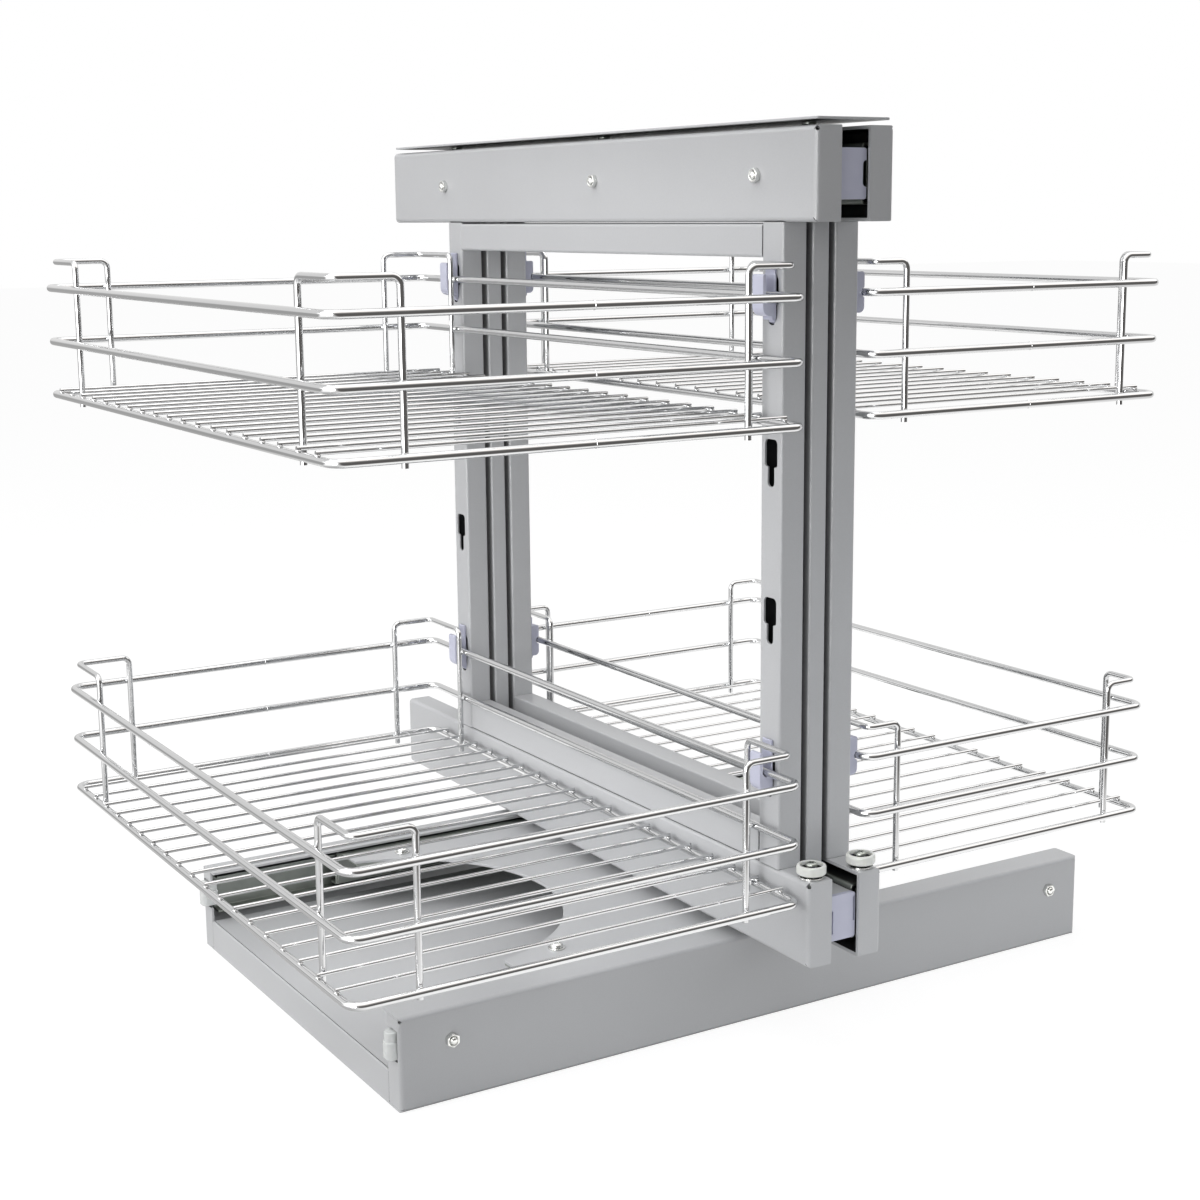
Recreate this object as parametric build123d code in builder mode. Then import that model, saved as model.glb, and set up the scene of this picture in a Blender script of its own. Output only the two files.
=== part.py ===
from build123d import *
import os

# Corner pull-out unit: a low base with two rails, a carriage that runs along X on them, and a tower
# of three flat frames. The two outer frames slide towards -Y and each carries two wire baskets.
# All sizes are millimetres. The origin is the centre of the four floor-screw holes, on the floor.

os.makedirs("parts", exist_ok=True)

# Base
BASE_L, BASE_D, BASE_H = 540.0, 326.0, 59.0
SHEET = 1.5
TOP_FLANGE, FOOT_FLANGE, END_FLANGE = 22.0, 36.0, 16.0
FLOOR_Z = 21.5
PAN_X1 = 100.0
FIX_X, FIX_Y, FIX_R = 230.0, 135.0, 2.75

# Slides along X, one behind the front rail and one behind the rear rail
XS_Z, XS_H, XS_T = 39.0, 27.0, 13.0
XS_LEN = 528.0
XS_SCREWS = (-236.0, 242.0)
PLATE_X0, PLATE_X1, PLATE_Y = -173.0, 80.0, 128.0
PLATE_Z, PLATE_T = 56.0, 2.0
NOTCH_X, NOTCH_R = -196.7, 114.7
PLATE_SCREWS, PLATE_SCREW_Y = (-135.0, 60.0), 113.0

# Tower: U is the distance from its middle plane, along X
TOWER_X = -6.5
U_OUT, U_IN, U_MID, U_RAIL = 28.0, 10.3, 6.1, 10.0
CH_Y0, CH_Y1, CH_H, CH_T = -244.0, 304.0, 54.0, 2.0
CH_SCREWS = (-186.0, -2.0, 217.0)
LOW_Z, HIGH_Z = 93.0, 539.0
POST_Y, POST_D, WALL = 192.0, 21.0, 1.5
RAIL_H, RAIL_GAP = 19.7, 0.8
MID_H = 29.0
MID_Y0, MID_Y1 = -238.0, 298.0
KEY_TOPS = (193.0, 289.0, 385.0, 481.0)
KEY_W, KEY_H, SLOT_W, SLOT_H = 12.4, 16.5, 6.6, 28.5

# Slides along Y: heights of the nested members and how far each reaches from the middle rail
YS_Y0, YS_Y1 = -237.0, 291.0

# Rollers
ROLL_Y, ROLL_R, ROLL_Z0, ROLL_Z1 = -234.5, 9.25, 122.5, 128.5

# Baskets: ring wire, loop wire and floor wire radii, ring heights
RING_R, LOOP_R, WIRE_R = 2.5, 2.0, 1.3
RING_STEP = 37.0
BASKET_Z = {"lower": 108.0, "upper": 396.0}
LEFT_X, LEFT_Y = (-333.0, -44.0), (-240.0, 246.0)
RIGHT_X, RIGHT_Y = (31.0, 272.0), (-217.0, 237.0)


def save(part, name):
    part.label = name
    export_step(part, "parts/" + name + ".step")


def block(x0, x1, y0, y1, z0, z1, mode=Mode.ADD):
    """Box between two corners."""
    with Locations(((x0 + x1) / 2, (y0 + y1) / 2, (z0 + z1) / 2)):
        Box(abs(x1 - x0), abs(y1 - y0), abs(z1 - z0), mode=mode)


def rod(x, y, z, radius, length, direction, mode=Mode.ADD):
    """Round bar that starts at a point and runs along a direction."""
    with BuildSketch(Plane(origin=(x, y, z), z_dir=direction)) as disc:
        Circle(radius)
    extrude(disc.sketch, amount=length, mode=mode)


def prism(x, y, z, radius, sides, length, direction, taper=0, mode=Mode.ADD):
    """Many-sided bar or hole; radius reaches its corners on a bar and its flats in a hole."""
    with BuildSketch(Plane(origin=(x, y, z), z_dir=direction)) as face:
        RegularPolygon(radius, sides, major_radius=mode == Mode.ADD)
    extrude(face.sketch, amount=length, taper=taper, mode=mode)


def cap_nut(x, y, z, direction, shank, depth):
    """Domed nut on the end of a screw; its seat is at the point and it stands up along the direction."""
    (dx, dy, dz), base = direction, 2.4
    prism(x, y, z, 4.6, 6, base, direction)
    prism(x + dx * base, y + dy * base, z + dz * base, 3.7, 8, 2.0, direction, taper=30)
    prism(x, y, z, shank, 8, depth, (-dx, -dy, -dz))


def wire(points, radius, sides, close=False):
    """Many-sided wire with mitred bends along a run of points."""
    (ax, ay, az), (bx, by, bz) = points[0], points[1]
    start = (ax, ay, az)
    if close:
        start = ((ax + bx) / 2, (ay + by) / 2, (az + bz) / 2)
        points = [start] + list(points[1:]) + [points[0]]
    with BuildLine() as path:
        Polyline(*points, close=close)
    with BuildSketch(Plane(origin=start, z_dir=(bx - ax, by - ay, bz - az))) as section:
        RegularPolygon(radius, sides)
    sweep(section.sketch, path=path.wire(), transition=Transition.RIGHT)


def rounded(x0, x1, y0, y1, z, r):
    """Corner points of a rounded rectangle, three flats to each corner."""
    a, b = r * 0.55, r * 0.15
    return [
        (x0 + r, y0, z), (x1 - r, y0, z), (x1 - a, y0 + b, z), (x1 - b, y0 + a, z),
        (x1, y0 + r, z), (x1, y1 - r, z), (x1 - b, y1 - a, z), (x1 - a, y1 - b, z),
        (x1 - r, y1, z), (x0 + r, y1, z), (x0 + a, y1 - b, z), (x0 + b, y1 - a, z),
        (x0, y1 - r, z), (x0, y0 + r, z), (x0 + b, y0 + a, z), (x0 + a, y0 + b, z),
    ]


# Base pan: raised floor between the rails, folded down at both ends, with two screwdriver holes.
with BuildPart() as base_pan:
    half = BASE_D / 2 - SHEET
    block(-BASE_L / 2 + SHEET, PAN_X1 - SHEET, -half, half, FLOOR_Z - SHEET, FLOOR_Z)
    fold = BASE_D / 2 - END_FLANGE - 0.1
    block(-BASE_L / 2, -BASE_L / 2 + SHEET, -fold, fold, 0, FLOOR_Z)
    block(PAN_X1 - SHEET, PAN_X1, -half, half, SHEET + 0.1, FLOOR_Z)
    for side in (-1, 1):
        prism(-FIX_X, side * FIX_Y, FLOOR_Z - 5, 6.0, 16, 10, (0, 0, 1), mode=Mode.SUBTRACT)
save(base_pan.part, "base_pan")


def base_rail(name, side):
    """C-shaped rail with end flanges; side is -1 for the front and +1 for the rear."""
    out, half = BASE_D / 2, BASE_L / 2
    with BuildPart() as rail:
        block(-half, half, side * out, side * (out - SHEET), 0, BASE_H)
        block(-half, half, side * (out - SHEET), side * (out - TOP_FLANGE), BASE_H - SHEET, BASE_H)
        block(-half + SHEET, half - SHEET, side * (out - SHEET), side * (out - FOOT_FLANGE), 0, SHEET)
        for end in (-1, 1):
            block(end * half, end * (half - SHEET), side * (out - SHEET), side * (out - END_FLANGE), 0,
                  BASE_H - SHEET)
            rod(end * FIX_X, side * FIX_Y, -2, FIX_R, 6, (0, 0, 1), Mode.SUBTRACT)
        # The left end flange is notched round the slide's end stop.
        block(-half - 1, -half + SHEET + 1, side * (out - 2.4), side * (out - END_FLANGE - 1),
              XS_Z - 10.4, XS_Z + 11.4, Mode.SUBTRACT)
        for x in XS_SCREWS:
            prism(x, side * (out + 2), XS_Z, 2.6, 8, 6, (0, -side, 0), mode=Mode.SUBTRACT)
    save(rail.part, name)


base_rail("base_front_rail", -1)
base_rail("base_rear_rail", 1)


def x_slide_outer(name, side):
    """Fixed member of one X slide: a C that opens towards the carriage."""
    back = side * (BASE_D / 2 - SHEET)
    with BuildPart() as member:
        block(-XS_LEN / 2, XS_LEN / 2, back, back - side * 1.5, XS_Z - XS_H / 2, XS_Z + XS_H / 2)
        for up in (-1, 1):
            block(-XS_LEN / 2, XS_LEN / 2, back - side * 1.5, back - side * 11.0,
                  XS_Z + up * (XS_H / 2 - 1.5), XS_Z + up * XS_H / 2)
        for x in XS_SCREWS:
            prism(x, back + side, XS_Z, 2.6, 8, 4, (0, -side, 0), mode=Mode.SUBTRACT)
    save(member.part, name)


x_slide_outer("x_slide_outer_front", -1)
x_slide_outer("x_slide_outer_rear", 1)

# Screws with domed nuts that hold the X slides to the rails.
with BuildPart() as base_screws:
    for side in (-1, 1):
        for x in XS_SCREWS:
            cap_nut(x, side * BASE_D / 2, XS_Z, (0, side, 0), 2.5, 4.0)
save(base_screws.part, "base_screws")

# Plastic end stops of the two X slides; they stand a little out of the base's left end.
with BuildPart() as end_stops:
    for side in (-1, 1):
        y0 = side * (BASE_D / 2 - 3.0)
        block(-275.5, -XS_LEN / 2 - 0.1, y0, y0 - side * 11.5, XS_Z - 10, XS_Z + 11)
save(end_stops.part, "x_slide_end_stops")

# Ball cages of the X slides, two strips to a slide, halfway between the fixed and moving members.
with BuildPart() as x_cages:
    for side in (-1, 1):
        back = BASE_D / 2 - SHEET
        for up in (-1, 1):
            block(-138.75, 91.25, side * (back - 4), side * (back - 9.5), XS_Z + up * 9.76, XS_Z + up * 11.94)
save(x_cages.part, "x_slide_ball_cages")


# Moving members of the two X slides: C shapes nested in the fixed ones.
with BuildPart() as x_inner:
    back = BASE_D / 2 - SHEET
    for side in (-1, 1):
        block(PLATE_X0, PLATE_X1, side * (back - 11.5), side * (back - 13), XS_Z - 9.7, XS_Z + 9.7)
        for up in (-1, 1):
            block(PLATE_X0, PLATE_X1, side * (back - 3.5), side * (back - 11.5), XS_Z + up * 8.2,
                  XS_Z + up * 9.7)
save(x_inner.part, "x_slides_inner")

# Angles between the moving members and the underside of the carriage plate.
with BuildPart() as angles:
    face = BASE_D / 2 - SHEET - XS_T
    for side in (-1, 1):
        block(PLATE_X0, PLATE_X1, side * face, side * (face - 2), XS_Z - 8, PLATE_Z)
        block(PLATE_X0, PLATE_X1, side * (face - 2), side * 104, PLATE_Z - 2, PLATE_Z)
        for x in PLATE_SCREWS:
            prism(x, side * PLATE_SCREW_Y, PLATE_Z - 3, 2.6, 8, 4, (0, 0, 1), mode=Mode.SUBTRACT)
    rod(NOTCH_X, 0, PLATE_Z - 3, NOTCH_R, 4, (0, 0, 1), Mode.SUBTRACT)
save(angles.part, "carriage_angles")

# Carriage plate with a half-round notch that opens to the left.
with BuildPart() as carriage_plate:
    block(PLATE_X0, PLATE_X1, -PLATE_Y, PLATE_Y, PLATE_Z, PLATE_Z + PLATE_T)
    rod(NOTCH_X, 0, PLATE_Z - 1, NOTCH_R, 6, (0, 0, 1), Mode.SUBTRACT)
    for x in PLATE_SCREWS:
        for side in (-1, 1):
            prism(x, side * PLATE_SCREW_Y, PLATE_Z - 1, 2.6, 8, 6, (0, 0, 1), mode=Mode.SUBTRACT)
save(carriage_plate.part, "carriage_plate")

with BuildPart() as carriage_screws:
    top = PLATE_Z + PLATE_T
    for x in PLATE_SCREWS:
        for side in (-1, 1):
            prism(x, side * PLATE_SCREW_Y, top, 5.6, 12, 1.0, (0, 0, 1))
            prism(x, side * PLATE_SCREW_Y, top + 1, 4.3, 10, 3.0, (0, 0, 1), taper=20)
            prism(x, side * PLATE_SCREW_Y, top, 2.5, 8, 7.0, (0, 0, -1))
save(carriage_screws.part, "carriage_screws")

# Inverted channels that lift the middle frame clear of the plate.
with BuildPart() as stands:
    low, high = PLATE_Z + PLATE_T, LOW_Z - MID_H / 2
    for y0 in (-112.0, 52.0):
        block(TOWER_X - 8, TOWER_X + 8, y0, y0 + 60, high - 2, high)
        for side in (-1, 1):
            block(TOWER_X + side * 6, TOWER_X + side * 8, y0, y0 + 60, low, high - 2)
save(stands.part, "carriage_stands")

# Middle frame: two hollow rails that carry the Y slides, and two slim posts between them.
for name, z in (("middle_lower_rail", LOW_Z), ("middle_upper_rail", HIGH_Z)):
    with BuildPart() as rail:
        h = MID_H / 2
        block(TOWER_X - U_RAIL, TOWER_X + U_RAIL, MID_Y0, MID_Y1, z - h, z + h)
        block(TOWER_X - U_RAIL + 2, TOWER_X + U_RAIL - 2, MID_Y0 - 1, MID_Y1 + 1, z - h + 2, z + h - 2,
              Mode.SUBTRACT)
    save(rail.part, name)

for name, y0 in (("middle_near_post", -POST_Y - POST_D), ("middle_far_post", POST_Y)):
    with BuildPart() as post:
        z0, z1 = LOW_Z + MID_H / 2, HIGH_Z - MID_H / 2
        block(TOWER_X - U_MID, TOWER_X + U_MID, y0, y0 + POST_D, z0, z1)
        block(TOWER_X - U_MID + WALL, TOWER_X + U_MID - WALL, y0 + WALL, y0 + POST_D - WALL, z0 - 1, z1 + 1,
              Mode.SUBTRACT)
    save(post.part, name)

# Plastic plugs in the open ends of the middle rails.
with BuildPart() as end_plugs:
    for z in (LOW_Z, HIGH_Z):
        for y, out in ((MID_Y0, -1), (MID_Y1, 1)):
            block(TOWER_X - U_RAIL, TOWER_X + U_RAIL, y, y + out * 3, z - MID_H / 2, z + MID_H / 2)
            block(TOWER_X - U_RAIL + 2.1, TOWER_X + U_RAIL - 2.1, y, y - out * 9, z - MID_H / 2 + 2.1,
                  z + MID_H / 2 - 2.1)
save(end_plugs.part, "middle_end_plugs")

# Cover strip over the upper channels, on three spacers.
with BuildPart() as cover:
    block(-35.0, 19.0, CH_Y0, 302.0, 569.0, 570.5)
save(cover.part, "cover_strip")

with BuildPart() as spacers:
    for y in (-200.0, 30.0, 250.0):
        prism(TOWER_X, y, HIGH_Z + MID_H / 2, 4.5, 12, 569.0 - HIGH_Z - MID_H / 2, (0, 0, 1))
save(spacers.part, "cover_spacers")


def u_block(side, u0, u1, y0, y1, z0, z1, mode=Mode.ADD):
    """Box placed by its distance from the tower's middle plane; side is -1 left, +1 right."""
    block(TOWER_X + side * u0, TOWER_X + side * u1, y0, y1, z0, z1, mode)


def y_member(name, sides, web, lips, half_h):
    """Nested members of the upper and lower Y slides: a web, and two lips that run along X."""
    with BuildPart() as member:
        for side in sides:
            for z in (LOW_Z, HIGH_Z):
                u_block(side, web[0], web[1], YS_Y0, YS_Y1, z - half_h, z + half_h)
                for up in (-1, 1):
                    u_block(side, lips[0], lips[1], YS_Y0, YS_Y1, z + up * (half_h - 1.5), z + up * half_h)
        if name.endswith("inner"):
            for y in CH_SCREWS:
                prism(TOWER_X + side * (U_OUT + 2), y, HIGH_Z, 2.1, 8, 8, (-side, 0, 0), mode=Mode.SUBTRACT)
    save(member.part, name)


def y_cages(name, side):
    """Ball cages between the members of both Y slides on one side."""
    with BuildPart() as cages:
        for z in (LOW_Z, HIGH_Z):
            for up in (-1, 1):
                u_block(side, 16.0, 20.5, -20.0, 280.0, z + up * 14.26, z + up * 15.94)
                u_block(side, 18.0, 22.0, -232.0, 20.0, z + up * 10.86, z + up * 12.64)
    save(cages.part, name)


def channel(name, side, z, screw_holes):
    """Outer C channel of one side frame: closed by a folded tab at its near end."""
    h = CH_H / 2
    with BuildPart() as chan:
        u_block(side, U_OUT - CH_T, U_OUT, CH_Y0, CH_Y1, z - h, z + h)
        for up in (-1, 1):
            u_block(side, U_IN, U_OUT - CH_T, CH_Y0, CH_Y1, z + up * (h - CH_T), z + up * h)
        u_block(side, U_IN, U_OUT - CH_T, CH_Y0, CH_Y0 + CH_T, z - h + CH_T, z + h - CH_T)
        for y in screw_holes:
            prism(TOWER_X + side * (U_OUT + 1), y, z, 2.1, 8, CH_T + 2, (-side, 0, 0), mode=Mode.SUBTRACT)
    save(chan.part, name)


def keyhole():
    """Outline of one keyhole from the middle of its top: a wide mouth above a narrow slot."""
    w, s, cut, toe = KEY_W / 2, SLOT_W / 2, 3.0, 2.0
    half = [(w - cut, 0), (w, cut), (w, KEY_H - cut), (s, KEY_H), (s, SLOT_H - toe), (s - toe, SLOT_H)]
    return half + [(-dy, dz) for dy, dz in reversed(half)]


def side_post(name, side, y0):
    """Square post of a side frame, with a column of keyholes in its outer wall."""
    z0, z1 = LOW_Z + CH_H / 2, HIGH_Z - CH_H / 2
    mid = y0 + POST_D / 2
    with BuildPart() as post:
        u_block(side, U_IN, U_OUT, y0, y0 + POST_D, z0, z1)
        u_block(side, U_IN + WALL, U_OUT - WALL, y0 + WALL, y0 + POST_D - WALL, z0 - 1, z1 + 1, Mode.SUBTRACT)
        with BuildSketch(Plane(origin=(TOWER_X + side * (U_OUT + 1), 0, 0), x_dir=(0, 1, 0),
                               z_dir=(side, 0, 0))):
            for top in KEY_TOPS:
                Polygon(*[(mid + dy, side * (top - dz)) for dy, dz in keyhole()], align=None)
        extrude(amount=-(WALL + 2), mode=Mode.SUBTRACT)
    save(post.part, name)


def frame_rail(name, side, z0):
    """Hollow cross rail between a side frame's two posts."""
    with BuildPart() as rail:
        u_block(side, U_IN, U_OUT, -POST_Y, POST_Y, z0, z0 + RAIL_H)
        u_block(side, U_IN + WALL, U_OUT - WALL, -POST_Y - 1, POST_Y + 1, z0 + WALL, z0 + RAIL_H - WALL,
                Mode.SUBTRACT)
    save(rail.part, name)


def dome_screws(name, side):
    """Three screws with domed nuts on the upper channel's outer face."""
    with BuildPart() as screws:
        for y in CH_SCREWS:
            cap_nut(TOWER_X + side * U_OUT, y, HIGH_Z, (side, 0, 0), 2.0, 5.0)
    save(screws.part, name)


def roller(prefix, side):
    """Guide roller on the near end of the lower channel: pin with washer, bearing and tyre."""
    x, deck = TOWER_X + side * 19.0, LOW_Z + CH_H / 2
    with BuildPart() as pin:
        prism(x, ROLL_Y, deck, 5.0, 16, 2.3, (0, 0, 1))
        rod(x, ROLL_Y, deck + 2.3, 2.0, ROLL_Z1 - deck - 2.3, (0, 0, 1))
        prism(x, ROLL_Y, ROLL_Z1, 3.2, 16, 1.3, (0, 0, 1))
    save(pin.part, prefix + "_roller_pin")
    with BuildPart() as bearing:
        prism(x, ROLL_Y, ROLL_Z0 + 0.2, 5.95, 24, ROLL_Z1 - ROLL_Z0 - 0.4, (0, 0, 1))
        rod(x, ROLL_Y, ROLL_Z0 - 1, 2.06, 10, (0, 0, 1), Mode.SUBTRACT)
    save(bearing.part, prefix + "_roller_bearing")
    with BuildPart() as tyre:
        prism(x, ROLL_Y, ROLL_Z0, ROLL_R, 36, ROLL_Z1 - ROLL_Z0, (0, 0, 1))
        rims = tyre.faces().filter_by(Axis.Z)
        chamfer(rims.edges(), 0.9)
        prism(x, ROLL_Y, ROLL_Z0 - 1, 6.0, 24, 10, (0, 0, 1), mode=Mode.SUBTRACT)
    save(tyre.part, prefix + "_roller_tyre")


y_member("y_slides_outer", (-1, 1), (10.0, 11.5), (11.5, 22.5), 17.5)

for prefix, side in (("left", -1), ("right", 1)):
    y_member(prefix + "_slides_middle", (side,), (13.2, 14.7), (14.7, 23.2), 14.2)
    y_member(prefix + "_slides_inner", (side,), (24.5, 26.0), (16.7, 24.5), 10.8)
    y_cages(prefix + "_slides_ball_cages", side)
    channel(prefix + "_upper_channel", side, HIGH_Z, CH_SCREWS)
    channel(prefix + "_lower_channel", side, LOW_Z, ())
    side_post(prefix + "_near_post", side, -POST_Y - POST_D)
    side_post(prefix + "_far_post", side, POST_Y)
    frame_rail(prefix + "_top_rail", side, HIGH_Z - CH_H / 2 - RAIL_GAP - RAIL_H)
    frame_rail(prefix + "_bottom_rail", side, LOW_Z + CH_H / 2 + RAIL_GAP)
    dome_screws(prefix + "_channel_screws", side)
    roller(prefix, side)


def rings_and_floor(name, xs, ys, z0, count):
    """Three closed rings, and floor wires that lie across the lowest one."""
    (x0, x1), (y0, y1) = xs, ys
    with BuildPart() as rings:
        for k in range(3):
            wire(rounded(x0, x1, y0, y1, z0 + k * RING_STEP, 16.0), RING_R, 8, close=True)
    save(rings.part, name + "_rings")
    with BuildPart() as floor:
        first, last = y0 + 19.0, y1 - 20.0
        z = z0 + RING_R + WIRE_R + 0.05
        for k in range(count):
            y = first + (last - first) * k / (count - 1)
            wire([(x0 - 1, y, z), (x1 + 1, y, z)], WIRE_R, 6)
    save(floor.part, name + "_floor_wires")


def corner_loop(cx, cy, sx, sy, dx, dy, z0):
    """Wire that climbs inside the rings, turns the corner above them and goes down again."""
    inset = RING_R + LOOP_R + 0.05
    foot, top = z0 - RING_R - 3.0, z0 + 2 * RING_STEP + 18.0
    ex, ey = cx + sx * inset, cy + sy * inset
    xb, ya = cx + sx * dx, cy + sy * dy
    wire([
        (ex, ya, foot), (ex, ya, top - 4), (ex, ya - sy * 4, top),
        (ex, ey + sy * 9, top), (ex + sx * 2.6, ey + sy * 2.6, top), (ex + sx * 9, ey, top),
        (xb - sx * 4, ey, top), (xb, ey, top - 4), (xb, ey, foot),
    ], LOOP_R, 6)


def corner_loops(name, xs, ys, legs):
    """Four loops to a basket. legs holds how far each leg stands from its corner: low X, high X,
    near and far."""
    with BuildPart() as loops:
        for z0 in BASKET_Z.values():
            for cx, sx, dx in ((xs[0], 1, legs[0]), (xs[1], -1, legs[1])):
                for cy, sy, dy in ((ys[0], 1, legs[2]), (ys[1], -1, legs[3])):
                    corner_loop(cx, cy, sx, sy, dx, dy, z0)
    save(loops.part, name)


def hanger_clips(name, side, ring_x, ys):
    """Plastic clips round the top ring, each with a hook through a keyhole of a post."""
    face = TOWER_X + side * U_OUT
    with BuildPart() as clips:
        for z0 in BASKET_Z.values():
            z = z0 + 2 * RING_STEP
            for y in (-POST_Y - POST_D / 2, POST_Y + POST_D / 2):
                block(face + side * 0.05, ring_x - side * 2.65, y - 8, y + 8, z - 18, z + 14)
                wrap = (max(y - 8, ys[0] + 16.5), min(y + 8, ys[1] - 16.5))
                block(ring_x - side * 2.65, ring_x + side * 4.5, wrap[0], wrap[1], z - 6, z + 6)
                block(ring_x - 2.65, ring_x + 2.65, y - 9, y + 9, z - 2.65, z + 2.65, Mode.SUBTRACT)
                block(face + side * 0.05, face - side * 3.5, y - 2.8, y + 2.8, z - 16, z - 6)
                block(face - side * 1.6, face - side * 4.5, y - 5, y + 5, z - 17, z - 5)
    save(clips.part, name)


for prefix, side, xs, ys, count, legs in (
    ("left", -1, LEFT_X, LEFT_Y, 19, (42.0, 33.0, 48.0, 54.0)),
    ("right", 1, RIGHT_X, RIGHT_Y, 18, (28.0, 29.0, 30.0, 50.0)),
):
    for level, z0 in BASKET_Z.items():
        rings_and_floor(prefix + "_" + level + "_basket", xs, ys, z0, count)
    corner_loops(prefix + "_corner_loops", xs, ys, legs)
    hanger_clips(prefix + "_hanger_clips", side, xs[1] if side < 0 else xs[0], ys)
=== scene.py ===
import math

import bmesh
import bpy
from mathutils import Matrix, Vector


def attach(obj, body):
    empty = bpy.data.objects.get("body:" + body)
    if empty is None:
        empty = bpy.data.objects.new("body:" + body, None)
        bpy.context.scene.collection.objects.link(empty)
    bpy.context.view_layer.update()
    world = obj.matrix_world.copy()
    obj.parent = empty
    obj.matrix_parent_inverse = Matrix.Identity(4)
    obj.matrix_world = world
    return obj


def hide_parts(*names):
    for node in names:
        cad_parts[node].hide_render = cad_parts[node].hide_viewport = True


# Corner pull-out unit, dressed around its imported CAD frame. Meshes are made in millimetres in the
# frame's own axes, +X along the base rails, +Y away from the cabinet door, and scaled when handed over.
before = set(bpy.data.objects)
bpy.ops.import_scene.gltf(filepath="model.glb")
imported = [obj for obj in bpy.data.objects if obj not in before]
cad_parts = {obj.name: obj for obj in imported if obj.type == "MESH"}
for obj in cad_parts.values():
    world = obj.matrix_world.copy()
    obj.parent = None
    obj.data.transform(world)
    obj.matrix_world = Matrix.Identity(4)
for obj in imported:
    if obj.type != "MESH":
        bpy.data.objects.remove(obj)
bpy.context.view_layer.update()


# Camera: a long lens that stands to the left of the unit's front corner and looks slightly down.
# Its place, turn and focal length were fitted to corners of the base, the tower and the baskets.
CAMERA_PLACE = Vector((-0.7210, -1.1365, 0.5177))
CAMERA_YAW = math.radians(31.35)
CAMERA_PITCH = math.radians(10.64)
CAMERA_ROLL = math.radians(-0.52)
forward = Vector((
    math.sin(CAMERA_YAW) * math.cos(CAMERA_PITCH),
    math.cos(CAMERA_YAW) * math.cos(CAMERA_PITCH),
    -math.sin(CAMERA_PITCH),
))
level_right = Vector((math.cos(CAMERA_YAW), -math.sin(CAMERA_YAW), 0.0))
level_up = level_right.cross(forward)
camera_right = math.cos(CAMERA_ROLL) * level_right + math.sin(CAMERA_ROLL) * level_up
camera_up = -math.sin(CAMERA_ROLL) * level_right + math.cos(CAMERA_ROLL) * level_up
lens = bpy.data.cameras.new("camera")
lens.sensor_width = 36.0
lens.lens = 58.53
lens.shift_x = -0.0029
lens.shift_y = -0.0165
lens.clip_start = 0.05
lens.clip_end = 60.0
camera = bpy.data.objects.new("camera", lens)
camera.matrix_world = Matrix((camera_right, camera_up, -forward)).transposed().to_4x4()
camera.location = CAMERA_PLACE
bpy.context.scene.collection.objects.link(camera)
bpy.context.scene.camera = camera
bpy.context.scene.view_settings.view_transform = "Standard"


# Studio: a white table and a white room. The room's light on the object is bright from the left and
# from behind and low in front, so faces towards -Y are darker, as in the photograph.
def linear(code):
    """Turns an sRGB hex colour into linear RGBA."""
    channels = [int(code[i:i + 2], 16) / 255 for i in (1, 3, 5)]
    return tuple(c / 12.92 if c <= 0.04045 else ((c + 0.055) / 1.055) ** 2.4 for c in channels) + (1.0,)


def add_node(tree, kind, inputs=None, **settings):
    """Adds one node with its settings, and gives each named input a value or a link."""
    node = tree.nodes.new(kind)
    for key, value in settings.items():
        setattr(node, key, value)
    for key, value in (inputs or {}).items():
        if isinstance(value, bpy.types.NodeSocket):
            tree.links.new(value, node.inputs[key])
        else:
            node.inputs[key].default_value = value
    return node


def seen_share(tree):
    """1 where the camera, a reflection or a clear part looks at a surface, and 0 for the light it gives."""
    ray = add_node(tree, "ShaderNodeLightPath")
    seen = ray.outputs["Is Camera Ray"]
    for label in ("Is Glossy Ray", "Is Transmission Ray"):
        either = add_node(tree, "ShaderNodeMath", {0: seen, 1: ray.outputs[label]}, operation="MAXIMUM")
        seen = either.outputs[0]
    return seen


room = bpy.data.worlds.new("white_room")
bpy.context.scene.world = room
room.use_nodes = True
tree = room.node_tree
tree.nodes.clear()
direction = add_node(tree, "ShaderNodeTexCoord").outputs["Generated"]
leftness = add_node(
    tree, "ShaderNodeVectorMath", {0: direction, 1: (-0.86, 0.12, 0.50)}, operation="DOT_PRODUCT",
)
left_light = add_node(
    tree, "ShaderNodeMapRange",
    {"Value": leftness.outputs["Value"], "From Min": -0.2, "From Max": 1.0, "To Min": 0.42, "To Max": 0.98},
    interpolation_type="SMOOTHSTEP",
)
frontness = add_node(
    tree, "ShaderNodeVectorMath", {0: direction, 1: (0.30, -0.94, 0.16)}, operation="DOT_PRODUCT",
)
front_shade = add_node(
    tree, "ShaderNodeMapRange",
    {"Value": frontness.outputs["Value"], "From Min": 0.05, "From Max": 0.85, "To Min": 1.0, "To Max": 0.15},
    interpolation_type="SMOOTHSTEP",
)
room_light = add_node(
    tree, "ShaderNodeMath", {0: left_light.outputs["Result"], 1: front_shade.outputs["Result"]},
    operation="MULTIPLY",
)
seen = seen_share(tree)
lit = add_node(tree, "ShaderNodeBackground", {"Color": linear("#FFFFFF"), "Strength": room_light.outputs[0]})
white = add_node(tree, "ShaderNodeBackground", {"Color": linear("#FFFFFF"), "Strength": 1.0})
mixed = add_node(tree, "ShaderNodeMixShader", {0: seen, 1: lit.outputs[0], 2: white.outputs[0]})
add_node(tree, "ShaderNodeOutputWorld", {"Surface": mixed.outputs[0]})


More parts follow.
